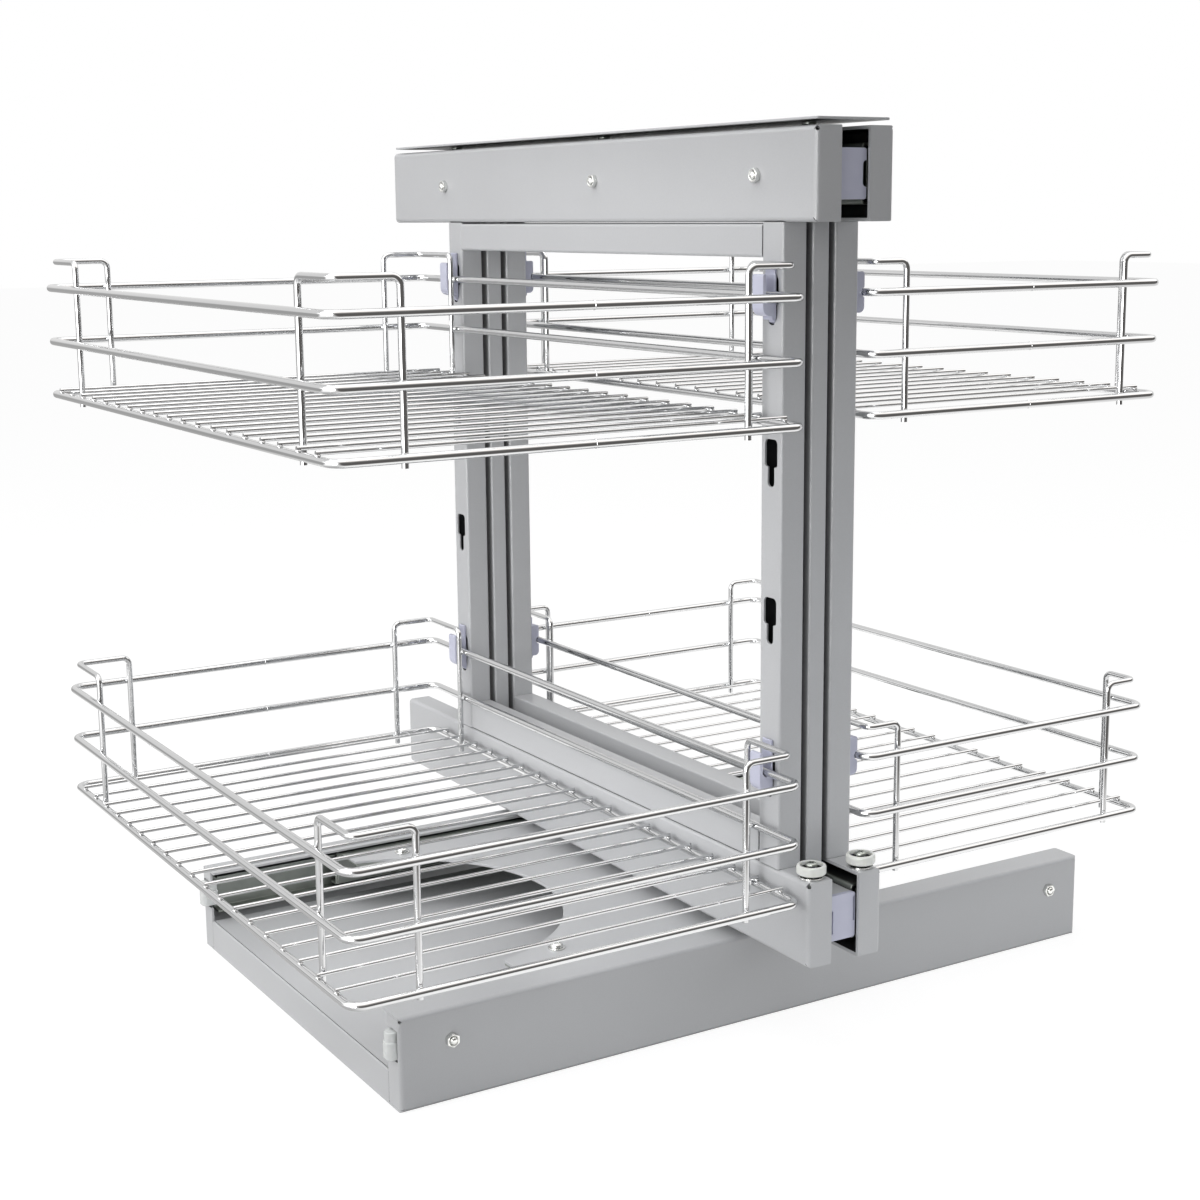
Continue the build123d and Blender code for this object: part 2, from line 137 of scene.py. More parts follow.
def softbox(name, place, target, size, power):
    """Rectangular lamp that the camera doesn't see."""
    light = bpy.data.lights.new(name, "AREA")
    light.shape = "RECTANGLE"
    light.size, light.size_y = size
    light.energy = power
    lamp = bpy.data.objects.new(name, light)
    lamp.location = place
    lamp.rotation_euler = (Vector(target) - Vector(place)).to_track_quat("-Z", "Y").to_euler()
    lamp.visible_camera = False
    bpy.context.scene.collection.objects.link(lamp)
    return lamp


softbox("lamp_left", (-2.3, 0.2, 1.2), (0.0, 0.0, 0.25), (1.6, 1.6), 17.0)
softbox("lamp_above", (-0.3, 0.2, 2.4), (0.0, 0.0, 0.2), (1.8, 1.8), 16.0)
low_lamp = softbox("lamp_front_floor", (0.15, -0.80, 0.50), (0.15, -0.80, 0.0), (1.3, 0.5), 2.8)
low_lamp.data.color = (0.94, 0.97, 1.0)
low_lamp.visible_glossy = False
front_lamp = softbox("lamp_front_right", (1.3, -1.5, 1.0), (0.0, -0.1, 0.3), (0.9, 0.9), 4.0)
front_lamp.visible_glossy = False
inner_lamp = softbox("lamp_between_baskets", (-0.32, -0.06, 0.26), (-0.03, 0.22, 0.32), (0.3, 0.3), 0.40)
inner_lamp.visible_glossy = False

# The table is matt white and turns greyer towards the room in front and at the left, so less light comes
# up from there. Most of what the lens sees of it is its own glow, so the shadow under the base stays faint.
table_white = bpy.data.materials.new("table_matt_white")
table_white.use_nodes = True
tree = table_white.node_tree
tree.nodes.clear()
seen = seen_share(tree)
spot = add_node(tree, "ShaderNodeTexCoord").outputs["Object"]
spot = add_node(tree, "ShaderNodeSeparateXYZ", {0: spot})
front_grey = add_node(
    tree, "ShaderNodeMapRange",
    {"Value": spot.outputs["Y"], "From Min": -1.3, "From Max": -0.45, "To Min": 1.0, "To Max": 0.0},
    interpolation_type="SMOOTHSTEP",
)
left_grey = add_node(
    tree, "ShaderNodeMapRange",
    {"Value": spot.outputs["X"], "From Min": -0.50, "From Max": -0.26, "To Min": 0.85, "To Max": 0.0},
    interpolation_type="SMOOTHSTEP",
)
greying = add_node(
    tree, "ShaderNodeMath", {0: front_grey.outputs["Result"], 1: left_grey.outputs["Result"]},
    operation="MAXIMUM",
)
glow_level = add_node(
    tree, "ShaderNodeMapRange", {"Value": greying.outputs[0], "To Min": 0.74, "To Max": 0.98},
)
glow_share = add_node(
    tree, "ShaderNodeMath", {0: seen, 1: glow_level.outputs["Result"]}, operation="MULTIPLY",
)
table_tone = add_node(
    tree, "ShaderNodeMix",
    {0: greying.outputs[0], 6: linear("#DCDCDC"), 7: linear("#949494")}, data_type="RGBA",
)
matt = add_node(tree, "ShaderNodeBsdfDiffuse", {"Color": table_tone.outputs[2]})
glow = add_node(tree, "ShaderNodeEmission", {"Color": linear("#FFFFFF"), "Strength": 1.18})
mixed = add_node(
    tree, "ShaderNodeMixShader", {0: glow_share.outputs[0], 1: matt.outputs[0], 2: glow.outputs[0]},
)
add_node(tree, "ShaderNodeOutputMaterial", {"Surface": mixed.outputs[0]})

TABLE_HALF = 14.0
table_mesh = bpy.data.meshes.new("table")
table_mesh.from_pydata(
    [(x * TABLE_HALF, y * TABLE_HALF, 0) for x, y in ((-1, -1), (1, -1), (1, 1), (-1, 1))],
    [], [(0, 1, 2, 3)],
)
table_mesh.materials.append(table_white)
table = bpy.data.objects.new("table", table_mesh)
bpy.context.scene.collection.objects.link(table)

# A light tent stands round the table, and only reflections see it: bright above and at the left, and dark
# where the camera and the room in front of it are. It gives bright metal its white and dark streaks.
tent_cloth = bpy.data.materials.new("tent_cloth")
tent_cloth.use_nodes = True
tree = tent_cloth.node_tree
tree.nodes.clear()
place = add_node(tree, "ShaderNodeTexCoord").outputs["Object"]
parts = add_node(tree, "ShaderNodeSeparateXYZ", {0: place})
flat = add_node(tree, "ShaderNodeVectorMath", {0: place, 1: (1.0, 1.0, 0.0)}, operation="MULTIPLY")
bearing = add_node(tree, "ShaderNodeVectorMath", {0: flat.outputs[0]}, operation="NORMALIZE")
far_off = add_node(tree, "ShaderNodeVectorMath", {0: flat.outputs[0]}, operation="LENGTH")
shares = {}
for label, towards, low, high in (
    ("dark", (0.45, -0.89, 0.0), 0.25, 0.60),
    ("left", (-1.0, 0.1, 0.0), 0.55, 0.85),
    ("back", (-0.30, 0.95, 0.0), 0.50, 0.85),
    ("streak", (-0.86, -0.51, 0.0), 0.965, 0.985),
):
    along = add_node(
        tree, "ShaderNodeVectorMath", {0: bearing.outputs[0], 1: towards}, operation="DOT_PRODUCT",
    )
    shares[label] = add_node(
        tree, "ShaderNodeMapRange", {"Value": along.outputs["Value"], "From Min": low, "From Max": high},
        interpolation_type="SMOOTHSTEP",
    ).outputs["Result"]
for label, value, low, high, to_low, to_high in (
    ("ahead", parts.outputs["Y"], -0.80, -0.48, 1.0, 0.0),
    ("hem", parts.outputs["Z"], 0.2, 1.7, 1.0, 0.0),
    ("beyond", far_off.outputs["Value"], 0.5, 1.2, 0.0, 1.0),
    ("outer", far_off.outputs["Value"], 1.7, 2.3, 0.0, 1.0),
    ("near", far_off.outputs["Value"], 0.35, 0.9, 1.5, 1.0),
    ("roof", parts.outputs["Z"], 2.95, 3.05, 0.0, 1.0),
    ("roof_back", parts.outputs["Y"], 0.3, 2.5, 1.9, 1.0),
    ("roof_front", parts.outputs["Y"], -4.4, -1.5, 0.22, 1.0),
):
    shares[label] = add_node(
        tree, "ShaderNodeMapRange",
        {"Value": value, "From Min": low, "From Max": high, "To Min": to_low, "To Max": to_high},
        interpolation_type="SMOOTHSTEP",
    ).outputs["Result"]
left_level = add_node(tree, "ShaderNodeMix", {0: shares["beyond"], 2: 0.7, 3: 1.75}).outputs[0]
level = add_node(tree, "ShaderNodeMix", {0: shares["left"], 2: shares["near"], 3: left_level}).outputs[0]
rear_shade = add_node(tree, "ShaderNodeMath", {0: shares["back"], 1: shares["hem"]}, operation="MULTIPLY")
rear_shade = add_node(
    tree, "ShaderNodeMath", {0: rear_shade.outputs[0], 1: shares["beyond"]}, operation="MULTIPLY",
)
level = add_node(tree, "ShaderNodeMix", {0: rear_shade.outputs[0], 2: level, 3: 0.52}).outputs[0]
shade = add_node(tree, "ShaderNodeMath", {0: shares["dark"], 1: shares["ahead"]}, operation="MULTIPLY")
level = add_node(tree, "ShaderNodeMix", {0: shade.outputs[0], 2: level, 3: 0.16}).outputs[0]
roof_level = add_node(
    tree, "ShaderNodeMath", {0: shares["roof_back"], 1: shares["roof_front"]}, operation="MULTIPLY",
)
streak = add_node(tree, "ShaderNodeMath", {0: shares["streak"], 1: shares["outer"]}, operation="MULTIPLY")
level = add_node(tree, "ShaderNodeMix", {0: streak.outputs[0], 2: level, 3: 12.0}).outputs[0]
level = add_node(tree, "ShaderNodeMix", {0: shares["roof"], 2: level, 3: roof_level.outputs[0]}).outputs[0]
warmth = add_node(
    tree, "ShaderNodeMix",
    {0: shade.outputs[0], 6: linear("#FCFBFA"), 7: linear("#FFFAF6")}, data_type="RGBA",
)
glow = add_node(tree, "ShaderNodeEmission", {"Color": warmth.outputs[2], "Strength": level})
add_node(tree, "ShaderNodeOutputMaterial", {"Surface": glow.outputs[0]})
tent_cloth.cycles.emission_sampling = "NONE"

TENT_R, TENT_H = 7.0, 3.1
tent_ring = [math.radians(a) for a in range(0, 360, 10)]
tent_verts = [
    (TENT_R * math.cos(a), TENT_R * math.sin(a), z) for z in (0.002, TENT_H) for a in tent_ring
]
count = len(tent_ring)
tent_faces = [tuple(range(count)), tuple(range(count, 2 * count))]
tent_faces += [(i, (i + 1) % count, (i + 1) % count + count, i + count) for i in range(count)]
tent_mesh = bpy.data.meshes.new("light_tent")
tent_mesh.from_pydata(tent_verts, [], tent_faces)
tent_mesh.materials.append(tent_cloth)
tent = bpy.data.objects.new("light_tent", tent_mesh)
tent.visible_camera = False
tent.visible_diffuse = False
tent.visible_shadow = False
tent.visible_transmission = False
tent.visible_volume_scatter = False
bpy.context.scene.collection.objects.link(tent)


# Base rails: two C rails of 1.5 mm sheet steel along X, with folded end flanges, powder coated in
# silver grey. The left end flanges are notched round the slides' end stops, and the foot flanges stop
# short of the pan's fold there.
BASE_L, BASE_D, BASE_H = 540.0, 326.0, 59.0
SHEET = 1.5
TOP_FLANGE, FOOT_FLANGE, END_FLANGE = 22.0, 36.0, 16.0
XS_Z = 39.0
BASE_SCREWS = (-236.0, 242.0)
FIX_X, FIX_Y, FIX_HOLE_R = 230.0, 135.0, 2.75
BEND = 2.6


def new_material(name):
    """Material with a Principled surface: the material, its tree, the shader and Object coordinates."""
    material = bpy.data.materials.new(name)
    material.use_nodes = True
    tree = material.node_tree
    tree.nodes.clear()
    shader = add_node(tree, "ShaderNodeBsdfPrincipled")
    add_node(tree, "ShaderNodeOutputMaterial", {"Surface": shader.outputs[0]})
    place = add_node(tree, "ShaderNodeTexCoord").outputs["Object"]
    return material, tree, shader, place


def grain(size):
    """Scale of a noise whose features are about this many millimetres across."""
    return 1000.0 / size


def vary(tree, shader, pattern, colours=(), roughness=(), relief=()):
    """Lets a noise vary a surface between two colours or roughnesses, or in relief."""
    level = pattern.outputs["Fac"]
    if colours:
        first, second = colours
        tone = add_node(
            tree, "ShaderNodeMix", {0: level, 6: linear(first), 7: linear(second)}, data_type="RGBA",
        )
        tree.links.new(tone.outputs[2], shader.inputs["Base Color"])
    if roughness:
        low, high = roughness
        gloss = add_node(
            tree, "ShaderNodeMapRange",
            {"Value": level, "From Min": 0.3, "From Max": 0.7, "To Min": low, "To Max": high},
        )
        tree.links.new(gloss.outputs["Result"], shader.inputs["Roughness"])
    if relief:
        strength, depth = relief
        bump = add_node(tree, "ShaderNodeBump", {"Height": level, "Strength": strength, "Distance": depth})
        tree.links.new(bump.outputs["Normal"], shader.inputs["Normal"])


# Powder coat: polyester powder baked on steel. Satin, with a fine orange peel of about 1.5 mm and a
# slight speckle, and a tone that drifts a little over a hand's breadth. Deep narrow gaps are darkened
# with painted shade.
powder_coat, tree, shader, place = new_material("powder_coat_silver_grey")
drift = add_node(tree, "ShaderNodeTexNoise", {"Vector": place, "Scale": grain(90.0), "Detail": 2.0})
speckle = add_node(tree, "ShaderNodeTexNoise", {"Vector": place, "Scale": grain(0.9), "Detail": 1.0})
tone = add_node(
    tree, "ShaderNodeMix",
    {0: drift.outputs["Fac"], 6: linear("#BEBFC1"), 7: linear("#C4C5C7")}, data_type="RGBA",
)
spots = add_node(
    tree, "ShaderNodeMapRange",
    {"Value": speckle.outputs["Fac"], "From Min": 0.35, "From Max": 0.65, "To Min": 0.985, "To Max": 1.01},
)
# Painted shade: the colour darkens where other surfaces lie within 9 mm.
closeness = add_node(tree, "ShaderNodeAmbientOcclusion", {"Distance": 0.009}, samples=8)
painted_gap_shade = add_node(
    tree, "ShaderNodeMapRange",
    {"Value": closeness.outputs["AO"], "From Min": 0.14, "From Max": 0.60, "To Min": 0.10, "To Max": 1.0},
    interpolation_type="SMOOTHSTEP",
)
speckle_and_painted_shade = add_node(
    tree, "ShaderNodeMath", {0: spots.outputs["Result"], 1: painted_gap_shade.outputs["Result"]},
    operation="MULTIPLY",
)
coat_colour = add_node(
    tree, "ShaderNodeMix",
    {0: 1.0, 6: tone.outputs[2], 7: speckle_and_painted_shade.outputs[0]}, data_type="RGBA", blend_type="MULTIPLY",
)
tree.links.new(coat_colour.outputs[2], shader.inputs["Base Color"])
peel = add_node(tree, "ShaderNodeTexNoise", {"Vector": place, "Scale": grain(1.5), "Detail": 2.0})
vary(tree, shader, drift, roughness=(0.32, 0.38))
vary(tree, shader, peel, relief=(0.10, 0.0001))
shader.inputs["IOR"].default_value = 1.5

# Mill steel: the uncoated inside of the tubes, where powder doesn't reach, dark with rolling oil and
# with painted shade. The channels' inner faces take it too, as painted shade only.
bare_steel_and_painted_shade, tree, shader, place = new_material("oiled_mill_steel_and_painted_shade")
scale_marks = add_node(tree, "ShaderNodeTexNoise", {"Vector": place, "Scale": grain(6.0), "Detail": 3.0})
vary(tree, shader, scale_marks, colours=("#26272A", "#3A3B3E"), relief=(0.2, 0.0002))
shader.inputs["Roughness"].default_value = 0.55
shader.inputs["Metallic"].default_value = 0.5


def new_piece(name, shells):
    """Object made of closed shells, each of corners, faces and, where it needs them, material numbers."""
    mesh = bpy.data.meshes.new(name)
    corners, faces, numbers = [], [], []
    for shell in shells:
        start = len(corners)
        corners += shell[0]
        faces += [tuple(start + i for i in face) for face in shell[1]]
        numbers += shell[2] if len(shell) > 2 else [0] * len(shell[1])
    mesh.from_pydata(corners, [], faces)
    for polygon, number in zip(mesh.polygons, numbers):
        polygon.material_index = number
    work = bmesh.new()
    work.from_mesh(mesh)
    bmesh.ops.remove_doubles(work, verts=work.verts, dist=0.0005)
    bmesh.ops.recalc_face_normals(work, faces=work.faces)
    work.to_mesh(mesh)
    work.free()
    mesh.shade_smooth()
    piece = bpy.data.objects.new(name, mesh)
    bpy.context.scene.collection.objects.link(piece)
    return piece


def settle(piece):
    """Turns a piece's modifiers into its plain mesh."""
    depsgraph = bpy.context.evaluated_depsgraph_get()
    mesh = bpy.data.meshes.new_from_object(
        piece.evaluated_get(depsgraph), preserve_all_data_layers=True, depsgraph=depsgraph,
    )
    piece.modifiers.clear()
    old = piece.data
    piece.data = mesh
    bpy.data.meshes.remove(old)


def cut(piece, cutter, solver="EXACT"):
    """Takes one shape out of a piece. The manifold solver leaves an empty material slot, which goes."""
    modifier = piece.modifiers.new("cut", "BOOLEAN")
    modifier.operation = "DIFFERENCE"
    modifier.solver = solver
    modifier.object = cutter
    settle(piece)
    bpy.data.objects.remove(cutter)
    if solver == "MANIFOLD":
        piece.data.materials.clear()


def soften(piece, width, angle=50.0, segments=2):
    """Breaks a piece's sharp edges and evens its shading."""
    modifier = piece.modifiers.new("edges", "BEVEL")
    modifier.width = width
    modifier.segments = segments
    modifier.limit_method = "ANGLE"
    modifier.angle_limit = math.radians(angle)
    modifier.miter_outer = "MITER_ARC"
    weighted = piece.modifiers.new("shading", "WEIGHTED_NORMAL")
    weighted.keep_sharp = True
    settle(piece)


def hand_over(piece, body, materials=(), nodes=()):
    """Scales a finished piece to metres, gives it its materials and puts it on its body."""
    piece.data.transform(Matrix.Scale(0.001, 4))
    for material in materials:
        piece.data.materials.append(material)
    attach(piece, body)
    if nodes:
        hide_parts(*nodes)


def rounded(points, radii, steps=5, closed=True):
    """Run of 2-D points with each corner turned into an arc; a radius of 0 keeps the corner."""
    out = []
    count = len(points)
    for i, point in enumerate(points):
        radius = radii[i] if isinstance(radii, (list, tuple)) else radii
        here = Vector(point)
        if radius == 0 or (not closed and i in (0, count - 1)):
            out.append(tuple(here))
            continue
        back = (Vector(points[i - 1]) - here).normalized()
        on = (Vector(points[(i + 1) % count]) - here).normalized()
        half = back.angle(on) / 2
        reach = radius / math.tan(half)
        centre = here + (back + on).normalized() * (radius / math.sin(half))
        first, last = here + back * reach - centre, here + on * reach - centre
        start = math.atan2(first.y, first.x)
        turn = (math.atan2(last.y, last.x) - start + math.pi) % (2 * math.pi) - math.pi
        for k in range(steps + 1):
            angle = start + turn * k / steps
            out.append((centre.x + radius * math.cos(angle), centre.y + radius * math.sin(angle)))
    return out


def across(axis):
    """Function that takes two measures across an axis and one along it to a place in the frame."""
    return {
        "x": lambda a, b, c: (c, a, b),
        "y": lambda a, b, c: (a, c, b),
        "z": lambda a, b, c: (a, b, c),
    }[axis]


def extruded(outline, axis, low, high):
    """Closed shell from an outline drawn across one axis and pushed along it."""
    place = across(axis)
    count = len(outline)
    corners = [place(a, b, low) for a, b in outline] + [place(a, b, high) for a, b in outline]
    faces = [tuple(range(count)), tuple(range(2 * count - 1, count - 1, -1))]
    faces += [(i, i + count, (i + 1) % count + count, (i + 1) % count) for i in range(count)]
    return corners, faces


def rectangle(a0, a1, b0, b1, radius=0.0, steps=5):
    """Rectangle with rounded corners."""
    low_a, high_a = sorted((a0, a1))
    low_b, high_b = sorted((b0, b1))
    return rounded([(low_a, low_b), (high_a, low_b), (high_a, high_b), (low_a, high_b)], radius, steps)


def folded_sheet(name, length, height, depths, bend, wall, placing, corner=1.5, ends_over=False, steps=5):
    """Bent sheet: a web with flanges at low and high u and v, and small open reliefs where bends meet.

    The web's outer face is length by height at w = 0 and the flanges go towards -w. placing maps
    (u, v, w) to the frame. The end flanges, along v, lie over the others' ends or between them.
    """
    low_u, high_u, low_v, high_v = depths
    lap = wall + 0.1
    u0, u1 = (bend if low_u else 0.0), length - (bend if high_u else 0.0)
    v0, v1 = (bend if low_v else 0.0), height - (bend if high_v else 0.0)
    faces = [[(u0, v0, 0), (u1, v0, 0), (u1, v1, 0), (u0, v1, 0)]]
    for depth, along_v, edge, sign in (
        (low_u, True, 0.0, -1), (high_u, True, length, 1),
        (low_v, False, 0.0, -1), (high_v, False, height, 1),
    ):
        if not depth:
            continue
        first, last = (v0, v1) if along_v else (u0, u1)
        laps = (low_v, high_v) if along_v else (low_u, high_u)
        under = along_v != ends_over
        start = lap if laps[0] and under else 0.0
        end = (height if along_v else length) - (lap if laps[1] and under else 0.0)

        def spot(along, across, w):
            return (across, along, w) if along_v else (along, across, w)

        def on_bend(column, k):
            turn = math.pi / 2 * k / steps
            wide = math.sin(turn)
            along = (first + (start - first) * wide, first, last, last + (end - last) * wide)[column]
            return spot(along, edge - sign * bend * (1 - math.sin(turn)), -bend * (1 - math.cos(turn)))

        columns = ([0] if first > start + 0.01 else []) + [1] + ([2] if end > last + 0.01 else [])
        for column in columns:
            for k in range(steps):
                ring = [
                    on_bend(column, k), on_bend(column + 1, k),
                    on_bend(column + 1, k + 1), on_bend(column, k + 1),
                ]
                faces.append(list(dict.fromkeys(ring)))
        rim = [(start, -bend), (start, -depth), (end, -depth), (end, -bend)]
        rim += [(last, -bend)] if end > last + 0.01 else []
        rim += [(first, -bend)] if first > start + 0.01 else []
        radii = [corner if w == -depth else 0.0 for along, w in rim]
        faces.append([spot(along, edge, w) for along, w in rounded(rim, radii, 4)])
    work = bmesh.new()
    for face in faces:
        work.faces.new([work.verts.new(corner_place) for corner_place in face])
    bmesh.ops.remove_doubles(work, verts=work.verts, dist=0.001)
    bmesh.ops.recalc_face_normals(work, faces=work.faces)
    work.faces.ensure_lookup_table()
    work.normal_update()
    if work.faces[0].normal.z < 0:
        bmesh.ops.reverse_faces(work, faces=work.faces)
    bmesh.ops.transform(work, matrix=placing, verts=work.verts)
    if placing.determinant() < 0:
        bmesh.ops.reverse_faces(work, faces=work.faces)
    mesh = bpy.data.meshes.new(name)
    work.to_mesh(mesh)
    work.free()
    mesh.shade_smooth()
    piece = bpy.data.objects.new(name, mesh)
    bpy.context.scene.collection.objects.link(piece)
    solidify = piece.modifiers.new("wall", "SOLIDIFY")
    solidify.thickness = wall
    solidify.offset = -1.0
    solidify.use_even_offset = True
    settle(piece)
    return piece


def placing(origin, u_axis, v_axis, w_axis):
    """Matrix that takes u, v and w to three axes of the frame."""
    turn = Matrix((Vector(u_axis), Vector(v_axis), Vector(w_axis))).transposed()
    return Matrix.Translation(Vector(origin)) @ turn.to_4x4()


def lathed(profile, sides, closed=False):
    """Closed shell turned about +Z from (radius, height) points; a radius of 0 is a pole."""
    corners, rings, faces = [], [], []
    for radius, height in profile:
        if radius == 0:
            rings.append([len(corners)] * sides)
            corners.append((0.0, 0.0, height))
            continue
        rings.append(list(range(len(corners), len(corners) + sides)))
        for k in range(sides):
            angle = 2 * math.pi * k / sides
            corners.append((radius * math.cos(angle), radius * math.sin(angle), height))
    pairs = list(zip(rings, rings[1:]))
    if closed:
        pairs.append((rings[-1], rings[0]))
    for low, high in pairs:
        for k in range(sides):
            face = [low[k], low[(k + 1) % sides], high[(k + 1) % sides], high[k]]
            faces.append(tuple(dict.fromkeys(face)))
    return corners, [face for face in faces if len(face) > 2]


def moved(shell, place, facing=(0, 0, 1)):
    """A shell made about +Z, turned to face a direction and put in its place."""
    turn = Vector(facing).to_track_quat("Z", "Y").to_matrix()
    corners = [tuple(turn @ Vector(corner) + Vector(place)) for corner in shell[0]]
    return (corners,) + tuple(shell[1:])


def corner_drill(place, facing, radius=0.95):
    """Drill for the small round relief where the bends of a sheet meet."""
    drill = lathed([(0, -4), (radius, -4), (radius, 3), (0, 3)], 16)
    return new_piece("drill", [moved(drill, place, facing)])


for name, side in (("front", -1), ("rear", 1)):
    rail = folded_sheet(
        f"base_{name}_rail_sheet", BASE_L, BASE_H, (END_FLANGE, END_FLANGE, FOOT_FLANGE, TOP_FLANGE), BEND,
        SHEET, placing((-BASE_L / 2, side * BASE_D / 2, 0), (1, 0, 0), (0, 0, 1), (0, side, 0)), corner=1.2,
    )
    notch = rectangle(
        side * (BASE_D / 2 - 2.7), side * (BASE_D / 2 - END_FLANGE - 3), XS_Z - 8.2, XS_Z + 11.4, 1.2,
    )
    cut(rail, new_piece("notch", [extruded(notch, "x", -BASE_L / 2 - 3, -BASE_L / 2 + 4)]))
    fold_room = rectangle(
        side * (BASE_D / 2 - END_FLANGE - 0.2), side * (BASE_D / 2 - FOOT_FLANGE - 1.0),
        -1.0, SHEET + 1.0,
    )
    fold_end = -BASE_L / 2 + SHEET + 0.1
    cut(rail, new_piece("fold_room", [extruded(fold_room, "x", -BASE_L / 2 - 1.0, fold_end)]))
    for x in (-FIX_X, FIX_X):
        hole = rectangle(
            x - FIX_HOLE_R, x + FIX_HOLE_R, side * FIX_Y - FIX_HOLE_R, side * FIX_Y + FIX_HOLE_R,
            FIX_HOLE_R - 0.01, 6,
        )
        cut(rail, new_piece("hole", [extruded(hole, "z", -3, 5)]))
    for end in (-1, 1):
        drill_place = (end * (BASE_L / 2 - 0.8), side * (BASE_D / 2 - 0.8), BASE_H - 2.4)
        cut(rail, corner_drill(drill_place, (end, side, 0)), "MANIFOLD")
    soften(rail, 0.3)
    hand_over(rail, "base", [powder_coat], [f"base_{name}_rail"])


# Base pan: the raised floor between the rails, one sheet folded down at both ends, coated as the
# rails are. Two round holes let a screwdriver through to the floor screws.
PAN_Z, PAN_X1, ACCESS_R = 21.5, 100.0, 6.0


def strip_outline(path, wall):
    """Closed outline of a bent strip: the path is its outer face and the wall lies on the path's left."""
    inner = []
    for i, point in enumerate(path):
        here = Vector(point)
        back = (here - Vector(path[i - 1])).normalized() if i > 0 else None
        on = (Vector(path[i + 1]) - here).normalized() if i < len(path) - 1 else None
        back = back or on
        on = on or back
        across = (Vector((-back.y, back.x)) + Vector((-on.y, on.x))).normalized()
        spread = max(0.3, across.dot(Vector((-back.y, back.x))))
        inner.append(tuple(here + across * (wall / spread)))
    return list(path) + inner[::-1]


# A fine seam runs along the left fold. The pan's upward faces take a copy of the coat whose painted
# shade darkens them wherever anything lies within 45 mm, most of all under the carriage plate.
pan_coat_with_painted_shade = powder_coat.copy()
pan_coat_with_painted_shade.name = "powder_coat_dull_in_hollows"
for node in pan_coat_with_painted_shade.node_tree.nodes:
    if node.type == "AMBIENT_OCCLUSION":
        node.inputs["Distance"].default_value = 0.045
        dimming = node.outputs["AO"].links[0].to_node
        dimming.inputs["From Min"].default_value = 0.10
        dimming.inputs["From Max"].default_value = 0.70
        dimming.inputs["To Min"].default_value = 0.16

pan_half = BASE_D / 2 - END_FLANGE - 0.3
pan_path = rounded(
    [(-BASE_L / 2, 0.03), (-BASE_L / 2, PAN_Z), (PAN_X1, PAN_Z), (PAN_X1, SHEET + 0.1)],
    [0.0, 1.0, BEND, 0.0], 5, closed=False,
)
pan = new_piece("base_pan_sheet", [extruded(strip_outline(pan_path[::-1], SHEET), "y", -pan_half, pan_half)])
seam = rectangle(-BASE_L / 2 + 1.15, -BASE_L / 2 + 1.65, PAN_Z - 0.9, PAN_Z + 1.0)
cut(pan, new_piece("seam", [extruded(seam, "y", -pan_half - 1.0, pan_half + 1.0)]))
for side in (-1, 1):
    access = rectangle(
        -FIX_X - ACCESS_R, -FIX_X + ACCESS_R, side * FIX_Y - ACCESS_R, side * FIX_Y + ACCESS_R,
        ACCESS_R - 0.01, 6,
    )
    cut(pan, new_piece("access", [extruded(access, "z", PAN_Z - 4, PAN_Z + 3)]))
soften(pan, 0.25)
# The pan's upward faces take the coat with painted shade.
for polygon in pan.data.polygons:
    if polygon.normal.z > 0.5:
        polygon.material_index = 1
hand_over(pan, "base", [powder_coat, pan_coat_with_painted_shade], ["base_pan"])


# X slides: two ball slides 27 mm high behind the base rails, rolled from steel strip and zinc plated.
# Each has a fixed member, a moving member on the carriage, and two strips of balls between them.
XS_H, XS_LEN, XS_LIP, XS_WALL = 27.0, 528.0, 11.0, 1.5
XS_MOVING_BACK, XS_MOVING_TIP, XS_MOVING_HALF = 13.0, 3.5, 9.7
PLATE_X0, PLATE_X1 = -173.0, 80.0
XS_BACK = BASE_D / 2 - SHEET

# Zinc plate: bright-drawn strip, passivated. A greenish grey metal, with faint lines along the rolling
# direction, cloudy patches where the passivation took unevenly, and painted shade deep between members.
zinc_plate, tree, shader, place = new_material("zinc_plated_strip")
clouds = add_node(tree, "ShaderNodeTexNoise", {"Vector": place, "Scale": grain(14.0), "Detail": 3.0})
fine_lines = add_node(tree, "ShaderNodeTexNoise", {"Vector": place, "Scale": grain(0.8), "Detail": 2.0})
zinc_tone = add_node(
    tree, "ShaderNodeMix",
    {0: clouds.outputs["Fac"], 6: linear("#8F958F"), 7: linear("#B3B7B2")}, data_type="RGBA",
)
vary(tree, shader, clouds, roughness=(0.30, 0.42))
vary(tree, shader, fine_lines, relief=(0.12, 0.0001))
# Painted shade: the colour darkens where other surfaces lie within 12 mm.
shadow = add_node(tree, "ShaderNodeAmbientOcclusion", {"Distance": 0.012}, samples=8)
zinc_painted_shade = add_node(
    tree, "ShaderNodeMapRange",
    {"Value": shadow.outputs["AO"], "From Min": 0.10, "From Max": 0.60, "To Min": 0.22, "To Max": 1.0},
    interpolation_type="SMOOTHSTEP",
)
zinc_shaded_tone = add_node(
    tree, "ShaderNodeMix",
    {0: 1.0, 6: zinc_tone.outputs[2], 7: zinc_painted_shade.outputs["Result"]}, data_type="RGBA",
    blend_type="MULTIPLY",
)
tree.links.new(zinc_shaded_tone.outputs[2], shader.inputs["Base Color"])
shader.inputs["Metallic"].default_value = 0.9


def c_section(back, tip, half_h, centre, bend):
    """Rounded path of a C member in (across, up): from one lip's tip round the web to the other lip's tip."""
    return rounded(
        [(tip, centre - half_h), (back, centre - half_h), (back, centre + half_h), (tip, centre + half_h)],
        bend, 5, closed=False,
    )


def c_member(back, tip, half_h, centre, wall, axis, low, high, bend=BEND):
    """Closed shell of one C-shaped slide member."""
    path = c_section(back, tip, half_h, centre, bend)
    if tip > back:
        path = path[::-1]
    return extruded(strip_outline(path, wall), axis, low, high)


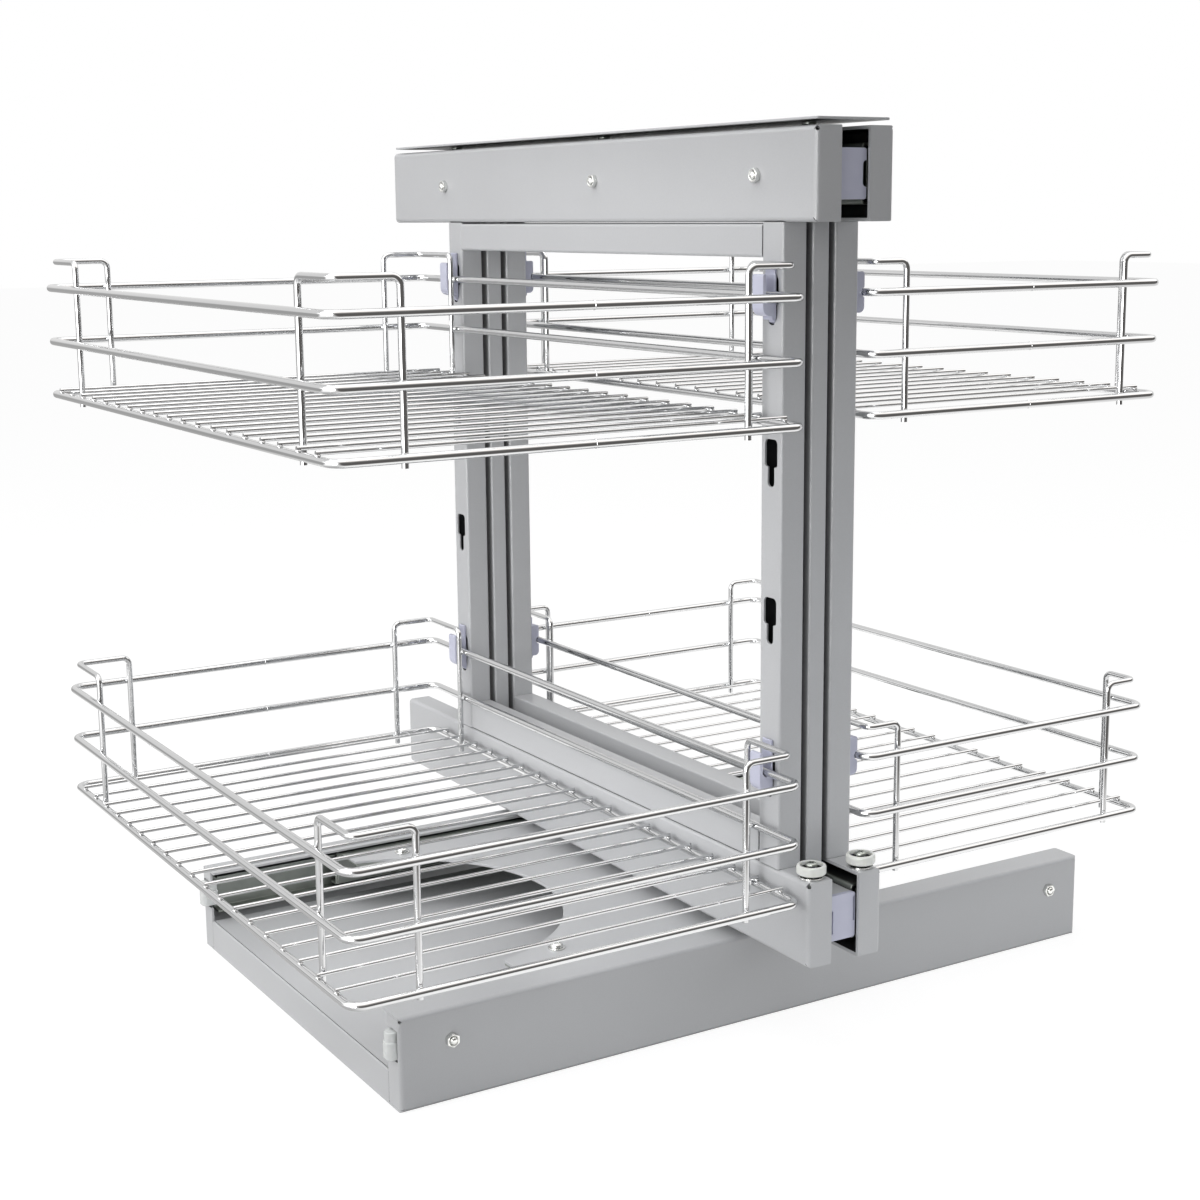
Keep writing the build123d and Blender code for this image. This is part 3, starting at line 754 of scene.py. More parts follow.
for name, side in (("front", -1), ("rear", 1)):
    member = new_piece(f"x_slide_{name}_fixed", [c_member(
        side * XS_BACK, side * (XS_BACK - XS_LIP), XS_H / 2, XS_Z, XS_WALL, "x", -XS_LEN / 2, XS_LEN / 2,
    )])
    soften(member, 0.25)
    hand_over(member, "base", [zinc_plate], [f"x_slide_outer_{name}"])

moving = new_piece("x_slides_moving", [
    c_member(
        side * (XS_BACK - XS_MOVING_BACK), side * (XS_BACK - XS_MOVING_TIP), XS_MOVING_HALF, XS_Z,
        XS_WALL, "x", PLATE_X0, PLATE_X1,
    )
    for side in (-1, 1)
])
soften(moving, 0.25)
hand_over(moving, "carriage", [zinc_plate], ["x_slides_inner"])


def node_group(name, inputs):
    """Empty Geometry Nodes tree with named inputs; gives the tree, its input node and its output node."""
    group = bpy.data.node_groups.new(name, "GeometryNodeTree")
    group.interface.new_socket("Geometry", in_out="INPUT", socket_type="NodeSocketGeometry")
    for label, kind, value in inputs:
        socket = group.interface.new_socket(label, in_out="INPUT", socket_type="NodeSocket" + kind)
        if value is not None:
            socket.default_value = value
    group.interface.new_socket("Geometry", in_out="OUTPUT", socket_type="NodeSocketGeometry")
    return group, add_node(group, "NodeGroupInput").outputs, add_node(group, "NodeGroupOutput").inputs


def grow(name, group, values, places=(), edges=(), **attributes):
    """Runs a tree on a few points and keeps the plain mesh that it makes."""
    mesh = bpy.data.meshes.new(name)
    mesh.from_pydata([tuple(p) for p in places], edges, [])
    for label, vectors in attributes.items():
        layer = mesh.attributes.new(label, "FLOAT_VECTOR", "POINT")
        layer.data.foreach_set("vector", [c for v in vectors for c in v])
    piece = bpy.data.objects.new(name, mesh)
    bpy.context.scene.collection.objects.link(piece)
    modifier = piece.modifiers.new("nodes", "NODES")
    modifier.node_group = group
    for item in group.interface.items_tree:
        if item.in_out == "INPUT" and item.name in values:
            modifier[item.identifier] = values[item.name]
    settle(piece)
    work = bmesh.new()
    work.from_mesh(piece.data)
    bmesh.ops.recalc_face_normals(work, faces=work.faces)
    work.to_mesh(piece.data)
    work.free()
    return piece


def made_real(group, copies, finish, end):
    """Ends a tree: what it has set out becomes plain geometry and takes its finish."""
    real = add_node(group, "GeometryNodeRealizeInstances", {"Geometry": copies})
    finished = add_node(
        group, "GeometryNodeSetMaterial", {"Geometry": real.outputs["Geometry"], "Material": finish},
    )
    group.links.new(finished.outputs["Geometry"], end["Geometry"])


# Ball rows: hardened balls in a thin pressed cage, between the lips of two members.
BALL_PITCH = 8.0
ball_row, start, end = node_group("ball_row", (
    ("Ball Radius", "Float", 1.1), ("Steel", "Material", None),
))
ball = add_node(ball_row, "GeometryNodeMeshIcoSphere", {"Radius": start["Ball Radius"], "Subdivisions": 2})
round_ball = add_node(ball_row, "GeometryNodeSetShadeSmooth", {"Geometry": ball.outputs["Mesh"]})
balls = add_node(
    ball_row, "GeometryNodeInstanceOnPoints",
    {"Points": start["Geometry"], "Instance": round_ball.outputs["Geometry"]},
)
made_real(ball_row, balls.outputs["Instances"], start["Steel"], end)

# Bearing steel: ground and polished, a little darker than the zinc.
bearing_steel, tree, shader, place = new_material("polished_bearing_steel")
haze = add_node(tree, "ShaderNodeTexNoise", {"Vector": place, "Scale": grain(3.0), "Detail": 2.0})
vary(tree, shader, haze, roughness=(0.16, 0.26))
shader.inputs["Base Color"].default_value = linear("#A9ABAE")
shader.inputs["Metallic"].default_value = 1.0


def ball_cage(name, strips, spots, radius, body, nodes):
    """One piece with its cage strips and its balls."""
    cage = new_piece(name, [extruded(rectangle(*box[:4]), *box[4:]) for box in strips])
    soften(cage, 0.12)
    cage.data.materials.append(bearing_steel)
    rows = grow(name + "_balls", ball_row, {"Ball Radius": radius, "Steel": bearing_steel}, spots)
    hand_over(rows, body)
    hand_over(cage, body, (), nodes)


cage_strips, cage_spots = [], []
for side in (-1, 1):
    for up in (-1, 1):
        z = XS_Z + up * 10.85
        near_y, far_y = side * (XS_BACK - 4), side * (XS_BACK - 9.5)
        cage_strips.append((near_y, far_y, z - 0.35, z + 0.35, "x", -138.75, 91.25))
        cage_spots += [(-132.0 + BALL_PITCH * i, side * (XS_BACK - 6.75), z) for i in range(28)]
ball_cage("x_slides_balls", cage_strips, cage_spots, 1.08, "x_cages", ["x_slide_ball_cages"])


# Nuts: M5 nuts on the rounded ends of the screws that hold the slides, bright zinc on steel, turned as the
# spanner left them.
def dome(radius, base, height, rings=6):
    """Profile of a cap from its foot ring to its pole."""
    return [
        (radius * math.cos(math.pi / 2 * k / rings), base + height * math.sin(math.pi / 2 * k / rings))
        for k in range(rings)
    ] + [(0, base + height)]


# Bright zinc: blue-passivated plating on turned and pressed steel, nearly as bright as chrome, with a
# slight haze.
bright_zinc, tree, shader, place = new_material("bright_zinc_plate")
zinc_haze = add_node(tree, "ShaderNodeTexNoise", {"Vector": place, "Scale": grain(2.0), "Detail": 2.0})
vary(tree, shader, zinc_haze, roughness=(0.13, 0.22), relief=(0.15, 0.0001))
shader.inputs["Base Color"].default_value = linear("#DCDDDB")
shader.inputs["Metallic"].default_value = 1.0

NUT_R, NUT_H, SCREW_R = 4.6, 3.1, 2.25
hexagon = [
    (NUT_R * math.cos(math.radians(60 * k)), NUT_R * math.sin(math.radians(60 * k))) for k in range(6)
]
hex_nut = new_piece("hex_nut", [extruded(hexagon, "z", 0.0, NUT_H)])
cut(hex_nut, new_piece("sink", [lathed([(0, 1.6), (2.6, 1.6), (2.6, 2.5), (3.3, 3.3), (0, 3.3)], 24)]))
soften(hex_nut, 0.45, 40.0)


def taken(piece):
    """Turns a piece back into a shell and drops its object."""
    shell = ([tuple(v.co) for v in piece.data.vertices], [tuple(p.vertices) for p in piece.data.polygons])
    bpy.data.objects.remove(piece)
    return shell


screw_end = lathed([(0, 0.5), (SCREW_R, 0.5), (SCREW_R, 3.3)] + dome(SCREW_R, 3.3, 1.1)[1:], 20)
nut_on_screw = new_piece("nut_on_screw", [taken(hex_nut), screw_end])
nut_on_screw.data.set_sharp_from_angle(angle=math.radians(32))

fasteners, start, end = node_group("fasteners", (
    ("Fastener", "Object", None), ("Seed", "Int", 3), ("Finish", "Material", None),
))
facing = add_node(fasteners, "GeometryNodeInputNamedAttribute", {"Name": "facing"}, data_type="FLOAT_VECTOR")
turned = add_node(
    fasteners, "FunctionNodeAlignRotationToVector", {"Vector": facing.outputs["Attribute"]}, axis="Z",
)
spin = add_node(fasteners, "FunctionNodeRandomValue", {2: 0.0, 3: math.radians(60.0), "Seed": start["Seed"]})
about = add_node(fasteners, "FunctionNodeAxisAngleToRotation", {"Axis": (0, 0, 1), "Angle": spin.outputs[1]})
stand = add_node(
    fasteners, "FunctionNodeRotateRotation",
    {"Rotation": turned.outputs["Rotation"], "Rotate By": about.outputs["Rotation"]}, rotation_space="LOCAL",
)
original = add_node(fasteners, "GeometryNodeObjectInfo", {"Object": start["Fastener"]})
placed = add_node(
    fasteners, "GeometryNodeInstanceOnPoints",
    {"Points": start["Geometry"], "Instance": original.outputs["Geometry"],
     "Rotation": stand.outputs["Rotation"]},
)
made_real(fasteners, placed.outputs["Instances"], start["Finish"], end)

spots = [(x, side * (BASE_D / 2 + 0.02), XS_Z) for side in (-1, 1) for x in BASE_SCREWS]
base_nuts = grow(
    "base_screw_nuts", fasteners, {"Fastener": nut_on_screw, "Seed": 5, "Finish": bright_zinc},
    spots, facing=[(0, spot[1], 0) for spot in spots],
)
hand_over(base_nuts, "base", (), ["base_screws"])


# End stops: moulded bumpers of clear nylon in the X slides' left ends. Each stands a little out of the
# notch in its end flange, with a rounded nose in two steps.
clear_nylon, tree, shader, place = new_material("clear_nylon")
milk = add_node(tree, "ShaderNodeTexNoise", {"Vector": place, "Scale": grain(5.0), "Detail": 2.0})
vary(tree, shader, milk, colours=("#EEF1F0", "#FAFCFB"))
ripples = add_node(tree, "ShaderNodeTexNoise", {"Vector": place, "Scale": grain(3.2), "Detail": 1.0})
vary(tree, shader, ripples, relief=(0.5, 0.0012))
shader.inputs["Roughness"].default_value = 0.10
shader.inputs["IOR"].default_value = 1.53
shader.inputs["Transmission Weight"].default_value = 0.22

stops = []
for side in (-1, 1):
    for outer, inner, tip, low, high in ((3.4, 14.2, -275.4, -6.6, 4.2), (4.2, 13.2, -275.0, 1.0, 10.4)):
        low_y, high_y = sorted((side * (BASE_D / 2 - outer), side * (BASE_D / 2 - inner)))
        nose = rounded(
            [(-XS_LEN / 2 - 0.3, low_y), (-XS_LEN / 2 - 0.3, high_y), (tip, high_y), (tip, low_y)],
            [0.6, 0.6, 3.9, 3.9], 8,
        )
        stops.append(extruded(nose, "z", XS_Z + low, XS_Z + high))
end_stops = new_piece("end_stop_bumpers", stops)
soften(end_stops, 1.7, 50.0, 4)
hand_over(end_stops, "base", [clear_nylon], ["x_slide_end_stops"])


# Carriage: a 2 mm coated plate with a half-round notch on the left, screwed to two zinc angles that
# stand on the moving members, and two inverted channels that lift the tower off it.
PLATE_Y, PLATE_Z, PLATE_T = 128.0, 56.0, 2.0
NOTCH_X, NOTCH_R = -196.7, 114.7
PLATE_SCREWS, PLATE_SCREW_Y = (-135.0, 60.0), 113.0
LOW_Z, HIGH_Z, MID_H = 93.0, 539.0, 29.0
TOWER_X = -6.5
STAND_HALF, STAND_L, STAND_ENDS = 8.0, 60.0, (-112.0, 52.0)

notch_y = math.sqrt(NOTCH_R ** 2 - (PLATE_X0 - NOTCH_X) ** 2)
notch_turn = math.asin(notch_y / NOTCH_R)
arc = [
    (NOTCH_X + NOTCH_R * math.cos(a), NOTCH_R * math.sin(a))
    for a in (notch_turn * (1 - k / 24) for k in range(49))
]
plate_corners = rounded(
    [(PLATE_X0, -PLATE_Y), (PLATE_X1, -PLATE_Y), (PLATE_X1, PLATE_Y), (PLATE_X0, PLATE_Y)], 4.0, 5,
)
plate = new_piece("carriage_plate_sheet", [extruded(plate_corners + arc, "z", PLATE_Z, PLATE_Z + PLATE_T)])
soften(plate, 0.35)
hand_over(plate, "carriage", [powder_coat], ["carriage_plate"])

angle_face = XS_BACK - XS_MOVING_BACK
angle_shells = []
for side in (-1, 1):
    path = rounded(
        [(side * angle_face, XS_Z - 8), (side * angle_face, PLATE_Z), (side * 104.0, PLATE_Z)], 3.0, 5,
        closed=False,
    )
    angle_shells.append(extruded(strip_outline(path, 2.0 * side), "x", PLATE_X0 + 1.0, PLATE_X1 - 1.0))
angles = new_piece("carriage_angle_strips", angle_shells)
angle_notch = new_piece("angle_notch", [moved(
    lathed([(0, -4), (NOTCH_R, -4), (NOTCH_R, 4), (0, 4)], 96), (NOTCH_X, 0, PLATE_Z),
)])
cut(angles, angle_notch)
soften(angles, 0.25)
hand_over(angles, "carriage", [zinc_plate], ["carriage_angles"])

# Pan-head screws on washers, with a cross recess.
pan_head = [
    (0, 1.1), (4.3, 1.1), (4.3, 1.9), (4.1, 2.7), (3.5, 3.4), (2.4, 3.85), (1.2, 4.0), (0, 4.05),
]
pan_screw = new_piece("pan_screw", [lathed(pan_head, 28)])
for turn in (0, 1):
    bar = [(-2.3, 0.45), (2.3, 0.45), (2.3, -0.45), (-2.3, -0.45)]
    outline = [(b, a) for a, b in bar] if turn else bar
    cut(pan_screw, new_piece("bar", [extruded(outline, "z", 2.2, 6.0)]))
soften(pan_screw, 0.12, 45.0)
washer = new_piece("washer", [lathed([(2.7, 0.0), (5.6, 0.0), (5.6, 1.0), (2.7, 1.0)], 32, closed=True)])
soften(washer, 0.2)
washer_and_screw = new_piece("washer_and_screw", [taken(pan_screw), taken(washer)])
washer_and_screw.data.set_sharp_from_angle(angle=math.radians(35))
spots = [(x, side * PLATE_SCREW_Y, PLATE_Z + PLATE_T) for side in (-1, 1) for x in PLATE_SCREWS]
plate_screws = grow(
    "carriage_pan_screws", fasteners, {"Fastener": washer_and_screw, "Seed": 11, "Finish": bright_zinc},
    spots, facing=[(0, 0, 1)] * len(spots),
)
hand_over(plate_screws, "carriage", (), ["carriage_screws"])
bpy.data.objects.remove(washer_and_screw)

stand_foot, stand_top = PLATE_Z + PLATE_T, LOW_Z - MID_H / 2
stand_path = rounded(
    [(TOWER_X - STAND_HALF, stand_foot), (TOWER_X - STAND_HALF, stand_top),
     (TOWER_X + STAND_HALF, stand_top), (TOWER_X + STAND_HALF, stand_foot)], 3.0, 5, closed=False,
)
stands = new_piece("carriage_stand_channels", [
    extruded(strip_outline(stand_path, -PLATE_T), "y", y0, y0 + STAND_L) for y0 in STAND_ENDS
])
soften(stands, 0.25)
hand_over(stands, "carriage", [powder_coat], ["carriage_stands"])


# Middle frame: two 20 by 29 mm tubes that carry the Y slides and two slim posts between them, coated.
# Their open ends take moulded plugs, and a cover strip lies over the upper channels on spacers.
MID_Y0, MID_Y1 = -238.0, 298.0
U_RAIL, U_MID, U_IN, U_OUT = 10.0, 6.1, 10.3, 28.0
POST_Y, POST_D, WALL = 192.0, 21.0, 1.5


def tube(a0, a1, b0, b1, axis, low, high, wall, corner=2.0):
    """Rectangular tube, coated outside and bare inside: an outer wall, an inner wall and two cut ends."""
    low_a, high_a = sorted((a0, a1))
    outer = rectangle(low_a, high_a, b0, b1, corner, 4)
    inner = rectangle(low_a + wall, high_a - wall, b0 + wall, b1 - wall, max(0.5, corner - wall), 4)
    count = len(outer)
    place = across(axis)
    corners = [place(a, b, c) for ring, c in ((outer, low), (outer, high), (inner, high), (inner, low))
               for a, b in ring]
    faces, numbers = [], []
    for band in range(4):
        for i in range(count):
            j = (i + 1) % count
            here, there = band * count, (band + 1) % 4 * count
            faces.append((here + i, here + j, there + j, there + i))
            numbers.append(1 if band == 2 else 0)
    return corners, faces, numbers


for name, z in (("lower", LOW_Z), ("upper", HIGH_Z)):
    rail = new_piece(f"middle_{name}_rail_tube", [tube(
        TOWER_X - U_RAIL, TOWER_X + U_RAIL, z - MID_H / 2, z + MID_H / 2, "y", MID_Y0, MID_Y1, 2.0,
    )])
    soften(rail, 0.2)
    hand_over(rail, "carriage", [powder_coat, bare_steel_and_painted_shade], [f"middle_{name}_rail"])

for name, y0 in (("near", -POST_Y - POST_D), ("far", POST_Y)):
    post = new_piece(f"middle_{name}_post_tube", [tube(
        TOWER_X - U_MID, TOWER_X + U_MID, y0, y0 + POST_D, "z",
        LOW_Z + MID_H / 2, HIGH_Z - MID_H / 2, WALL, 1.6,
    )])
    soften(post, 0.2)
    hand_over(post, "carriage", [powder_coat, bare_steel_and_painted_shade], [f"middle_{name}_post"])

# Plugs and clips are moulded polypropylene, lavender grey with a fine grain and soft edges.
clip_plastic, tree, shader, place = new_material("lavender_polypropylene")
mould = add_node(tree, "ShaderNodeTexNoise", {"Vector": place, "Scale": grain(0.9), "Detail": 2.0})
flow = add_node(tree, "ShaderNodeTexNoise", {"Vector": place, "Scale": grain(11.0), "Detail": 1.0})
vary(tree, shader, flow, colours=("#C2C4D6", "#CBCCDD"))
vary(tree, shader, mould, relief=(0.15, 0.00008))
shader.inputs["Roughness"].default_value = 0.38
shader.inputs["IOR"].default_value = 1.49
shader.inputs["Subsurface Weight"].default_value = 0.12
shader.inputs["Subsurface Radius"].default_value = (0.002, 0.002, 0.002)

finger_notch = rounded([
    (TOWER_X + 7.4, HIGH_Z - 7.5), (TOWER_X + 11.0, HIGH_Z - 7.5), (TOWER_X + 11.0, HIGH_Z + 7.5),
    (TOWER_X + 7.4, HIGH_Z + 7.5),
], [2.5, 0.0, 0.0, 2.5], 6)
left_vent = rectangle(TOWER_X - 8.0, TOWER_X - 6.9, LOW_Z - 10.0, LOW_Z + 5.0, 0.5)
right_vent = rectangle(TOWER_X + 8.5, TOWER_X + 9.6, LOW_Z - 4.0, LOW_Z + 12.0, 0.5)
plug_shells = []
for z, openings in ((LOW_Z, (left_vent, right_vent)), (HIGH_Z, (finger_notch,))):
    for y, out in ((MID_Y0, -1), (MID_Y1, 1)):
        cap = rectangle(TOWER_X - U_RAIL, TOWER_X + U_RAIL, z - MID_H / 2, z + MID_H / 2, 1.6)
        cap = new_piece("cap", [extruded(cap, "y", min(y, y + 3 * out), max(y, y + 3 * out))])
        for opening in openings:
            cut(cap, new_piece("opening", [extruded(opening, "y", y - 5.0, y + 5.0)]))
        stem = rectangle(TOWER_X - 7.9, TOWER_X + 5.9, z - 12.4, z + 12.4, 0.8)
        plug_shells.append(taken(cap))
        plug_shells.append(extruded(stem, "y", min(y + out, y - 9 * out), max(y + out, y - 9 * out)))
plugs = new_piece("middle_rail_plugs", plug_shells)
soften(plugs, 0.45, 50.0, 3)
hand_over(plugs, "carriage", [clip_plastic], ["middle_end_plugs"])

COVER_X, COVER_Y, COVER_Z, COVER_TOP = (-35.0, 19.0), (-244.0, 302.0), 569.0, 570.5
SPACER_Y = (-200.0, 30.0, 250.0)
cover = new_piece("cover_strip_sheet", [
    extruded(rectangle(*COVER_X, *COVER_Y, 3.0), "z", COVER_Z, COVER_TOP),
])
soften(cover, 0.35)
hand_over(cover, "carriage", [powder_coat], ["cover_strip"])

spacer_profile = [(0, 0), (4.5, 0), (4.5, 1.2), (3.9, 1.8), (3.9, 13.7), (4.5, 14.3), (4.5, 15.5), (0, 15.5)]
spacers = new_piece("cover_spacer_turnings", [
    moved(lathed(spacer_profile, 28), (TOWER_X, y, HIGH_Z + MID_H / 2)) for y in SPACER_Y
])
soften(spacers, 0.15)
hand_over(spacers, "carriage", [zinc_plate], ["cover_spacers"])


# Y slides: full-extension ball slides on both sides of the two middle rails, three nested members
# each. The fixed one is on the carriage, the middle one travels half as far as the side frame.
YS_Y0, YS_Y1 = -237.0, 291.0


def y_slide_members(name, sides, back, tip, half_h, body, nodes):
    """C members of the upper and lower slides; back and tip are distances from the tower's middle."""
    shells = []
    for side in sides:
        for z in (LOW_Z, HIGH_Z):
            shells.append(c_member(
                TOWER_X + side * back, TOWER_X + side * tip, half_h, z, 1.5, "y", YS_Y0, YS_Y1, 2.4,
            ))
    members = new_piece(name, shells)
    soften(members, 0.2)
    hand_over(members, body, [zinc_plate], nodes)


y_slide_members("y_slides_fixed", (-1, 1), 10.0, 22.5, 17.5, "carriage", ["y_slides_outer"])
for prefix, side in (("left", -1), ("right", 1)):
    y_slide_members(
        f"{prefix}_slides_between", (side,), 13.2, 23.2, 14.2, f"{prefix}_mid", [f"{prefix}_slides_middle"],
    )
    y_slide_members(
        f"{prefix}_slides_moving", (side,), 26.0, 16.7, 10.8, f"{prefix}_frame", [f"{prefix}_slides_inner"],
    )
    strips, spots = [], []
    for z in (LOW_Z, HIGH_Z):
        for up in (-1, 1):
            for u, half_u, height, y0, y1 in (
                (18.25, 2.2, 15.1, -20.0, 280.0), (20.0, 2.0, 11.75, -232.0, 20.0),
            ):
                x, zc = TOWER_X + side * u, z + up * height
                strips.append((x - half_u, x + half_u, zc - 0.3, zc + 0.3, "y", y0, y1))
                count = int((y1 - y0 - BALL_PITCH) // BALL_PITCH)
                spots += [(x, y0 + 6.0 + BALL_PITCH * i, zc) for i in range(count)]
    ball_cage(f"{prefix}_slides_balls", strips, spots, 0.84, f"{prefix}_mid", [f"{prefix}_slides_ball_cages"])


# Side frames: each is two folded channels with two square posts and two cross rails between them, all
# coated. The posts' outer walls are punched with keyholes that take the baskets' clips.
CH_Y0, CH_Y1, CH_H, CH_T = -244.0, 304.0, 54.0, 2.0
CH_SCREWS = (-186.0, -2.0, 217.0)
RAIL_H, RAIL_GAP = 19.7, 0.8
KEY_TOPS = (193.0, 289.0, 385.0, 481.0)
KEY_W, KEY_H, SLOT_W, SLOT_H = 12.4, 16.5, 6.6, 28.5


def keyhole(y, top):
    """Outline of one keyhole in (y, z): a wide mouth with rounded corners above a narrow slot."""
    w, s = KEY_W / 2, SLOT_W / 2
    return rounded([
        (y - w, top), (y - w, top - KEY_H), (y - s, top - KEY_H), (y - s, top - SLOT_H),
        (y + s, top - SLOT_H), (y + s, top - KEY_H), (y + w, top - KEY_H), (y + w, top),
    ], [3.0, 1.8, 0.6, 2.6, 2.6, 0.6, 1.8, 3.0], 5)


for prefix, side in (("left", -1), ("right", 1)):
    body = f"{prefix}_frame"
    for level, z in (("upper", HIGH_Z), ("lower", LOW_Z)):
        flange = U_OUT - U_IN
        channel = folded_sheet(
            f"{prefix}_{level}_channel_sheet", CH_Y1 - CH_Y0, CH_H, (flange, 0, flange, flange), 3.0, CH_T,
            placing((TOWER_X + side * U_OUT, CH_Y0, z - CH_H / 2), (0, 1, 0), (0, 0, 1), (side, 0, 0)),
            0.5, True,
        )
        drill_place = (TOWER_X + side * (U_OUT - 0.9), CH_Y0 + 0.9, z + CH_H / 2 - 2.2)
        cut(channel, corner_drill(drill_place, (side, -1, 0), 1.25), "MANIFOLD")
        soften(channel, 0.3)
        # The faces that look into the channel take the dark steel, as painted shade.
        for polygon in channel.data.polygons:
            depth = (polygon.center.x - TOWER_X) * side
            lift = polygon.center.z - z
            if (
                (polygon.normal.x * -side > 0.3 and depth > U_OUT - 4.0)
                or (polygon.normal.y > 0.3 and polygon.center.y < CH_Y0 + 4.0)
                or (polygon.normal.z > 0.3 and lift < 4.0 - CH_H / 2)
                or (polygon.normal.z < -0.3 and lift > CH_H / 2 - 4.0)
            ):
                polygon.material_index = 1
        hand_over(channel, body, [powder_coat, bare_steel_and_painted_shade], [f"{prefix}_{level}_channel"])
    for place_name, y0 in (("near", -POST_Y - POST_D), ("far", POST_Y)):
        post = new_piece(f"{prefix}_{place_name}_post_tube", [tube(
            TOWER_X + side * U_IN, TOWER_X + side * U_OUT, y0, y0 + POST_D, "z", LOW_Z + CH_H / 2,
            HIGH_Z - CH_H / 2, WALL, 2.0,
        )])
        x0, x1 = sorted((TOWER_X + side * (U_OUT + 2), TOWER_X + side * (U_OUT - WALL - 1)))
        cut(post, new_piece("keyholes", [
            extruded(keyhole(y0 + POST_D / 2, top), "x", x0, x1) for top in KEY_TOPS
        ]))
        soften(post, 0.22)
        hand_over(post, body, [powder_coat, bare_steel_and_painted_shade], [f"{prefix}_{place_name}_post"])
    for place_name, z0, z1, corner in (
        ("top", HIGH_Z - CH_H / 2 - RAIL_GAP - RAIL_H, HIGH_Z - CH_H / 2 - RAIL_GAP, 2.0),
        ("bottom", LOW_Z + CH_H / 2 + 0.3, LOW_Z + CH_H / 2 + RAIL_GAP + RAIL_H, 1.2),
    ):
        rail = new_piece(f"{prefix}_{place_name}_rail_tube", [tube(
            TOWER_X + side * U_IN, TOWER_X + side * U_OUT, z0, z1, "y", -POST_Y, POST_Y, WALL, corner,
        )])
        soften(rail, 0.2)
        hand_over(rail, body, [powder_coat, bare_steel_and_painted_shade], [f"{prefix}_{place_name}_rail"])
    spots = [(TOWER_X + side * (U_OUT + 0.02), y, HIGH_Z) for y in CH_SCREWS]
    nuts = grow(
        f"{prefix}_channel_nuts", fasteners,
        {"Fastener": nut_on_screw, "Seed": 8 + side, "Finish": bright_zinc},
        spots, facing=[(side, 0, 0)] * len(spots),
    )
    hand_over(nuts, body, (), [f"{prefix}_channel_screws"])
bpy.data.objects.remove(nut_on_screw)


# Guide rollers: a cream nylon tyre pressed on a small ball bearing, on a pin at each lower channel's
# near end. A screw head sits in the tyre's recess and a bright washer lifts it off the channel.
ROLL_Y, ROLL_R, ROLL_Z0 = -234.5, 9.1, 122.5

cream_nylon, tree, shader, place = new_material("cream_nylon")
turning = add_node(tree, "ShaderNodeTexNoise", {"Vector": place, "Scale": grain(2.2), "Detail": 2.0})
vary(tree, shader, turning, colours=("#E2E4DE", "#EEEFEB"), relief=(0.1, 0.0001))
shader.inputs["Roughness"].default_value = 0.42
shader.inputs["IOR"].default_value = 1.53
shader.inputs["Subsurface Weight"].default_value = 0.15
shader.inputs["Subsurface Radius"].default_value = (0.002, 0.002, 0.0015)

# Seal rubber: moulded black nitrile, matt, between the bearing's races.
seal_rubber, tree, shader, place = new_material("black_seal_rubber")
bloom = add_node(tree, "ShaderNodeTexNoise", {"Vector": place, "Scale": grain(1.5), "Detail": 2.0})
vary(tree, shader, bloom, colours=("#101012", "#1C1C1E"))
shader.inputs["Roughness"].default_value = 0.7
shader.inputs["Specular IOR Level"].default_value = 0.15

TYRE_PROFILE = rounded(
    [(6.8, 0.0), (ROLL_R, 0.0), (ROLL_R, 6.0), (7.3, 6.0), (6.8, 5.3)], [0.3, 1.3, 1.5, 0.3, 0.0], 5,
)
for prefix, side in (("left", -1), ("right", 1)):
    x = TOWER_X + side * 19.0
    tyre = new_piece(f"{prefix}_tyre", [moved(lathed(TYRE_PROFILE, 64, closed=True), (x, ROLL_Y, ROLL_Z0))])
    soften(tyre, 0.1, 40.0)
    hand_over(tyre, f"{prefix}_roller", [cream_nylon], [f"{prefix}_roller_tyre"])
    shells = []
    for inner, outer, low, high, number in (
        (6.2, 6.75, 0.3, 3.0, 0), (2.08, 2.9, 0.3, 4.0, 0), (2.85, 6.7, 0.6, 3.8, 1),
    ):
        ring = lathed([(inner, low), (outer, low), (outer, high), (inner, high)], 48, closed=True)
        ring = moved(ring, (x, ROLL_Y, ROLL_Z0))
        shells.append((ring[0], ring[1], [number] * len(ring[1])))
    bearing = new_piece(f"{prefix}_bearing_races", shells)
    soften(bearing, 0.15)
    hand_over(
        bearing, f"{prefix}_roller", [bearing_steel, seal_rubber],
        [f"{prefix}_roller_bearing"],
    )
    deck = LOW_Z + CH_H / 2
    head = new_piece("head", [moved(
        lathed([(0, 7.6), (3.6, 7.6), (3.6, 8.5), (3.2, 9.2), (2.3, 9.65), (1.2, 9.8), (0, 9.8)], 28),
        (x, ROLL_Y, deck),
    )])
    for long, wide in ((2.2, 0.42), (0.42, 2.2)):
        bar = rectangle(x - long, x + long, ROLL_Y - wide, ROLL_Y + wide)
        cut(head, new_piece("bar", [extruded(bar, "z", deck + 8.7, deck + 11.0)]))
    washer_ring = lathed([(2.3, 0.0), (7.8, 0.0), (7.8, 1.2), (2.3, 1.2)], 40, closed=True)
    washer_ring = moved(washer_ring, (x, ROLL_Y, deck))
    pin = new_piece(f"{prefix}_roller_screw", [
        (washer_ring[0], washer_ring[1], [1] * len(washer_ring[1])),
        moved(lathed([(0, 0.02), (3.4, 0.02), (3.4, 2.35), (0, 2.35)], 24), (x, ROLL_Y, deck)),
        moved(lathed([(0, 2.2), (2.0, 2.2), (2.0, 7.8), (0, 7.8)], 20), (x, ROLL_Y, deck)),
        taken(head),
    ])
    soften(pin, 0.14, 45.0)
    pin.data.set_sharp_from_angle(angle=math.radians(38))
    hand_over(pin, f"{prefix}_frame", [zinc_plate, bright_zinc], [f"{prefix}_roller_pin"])


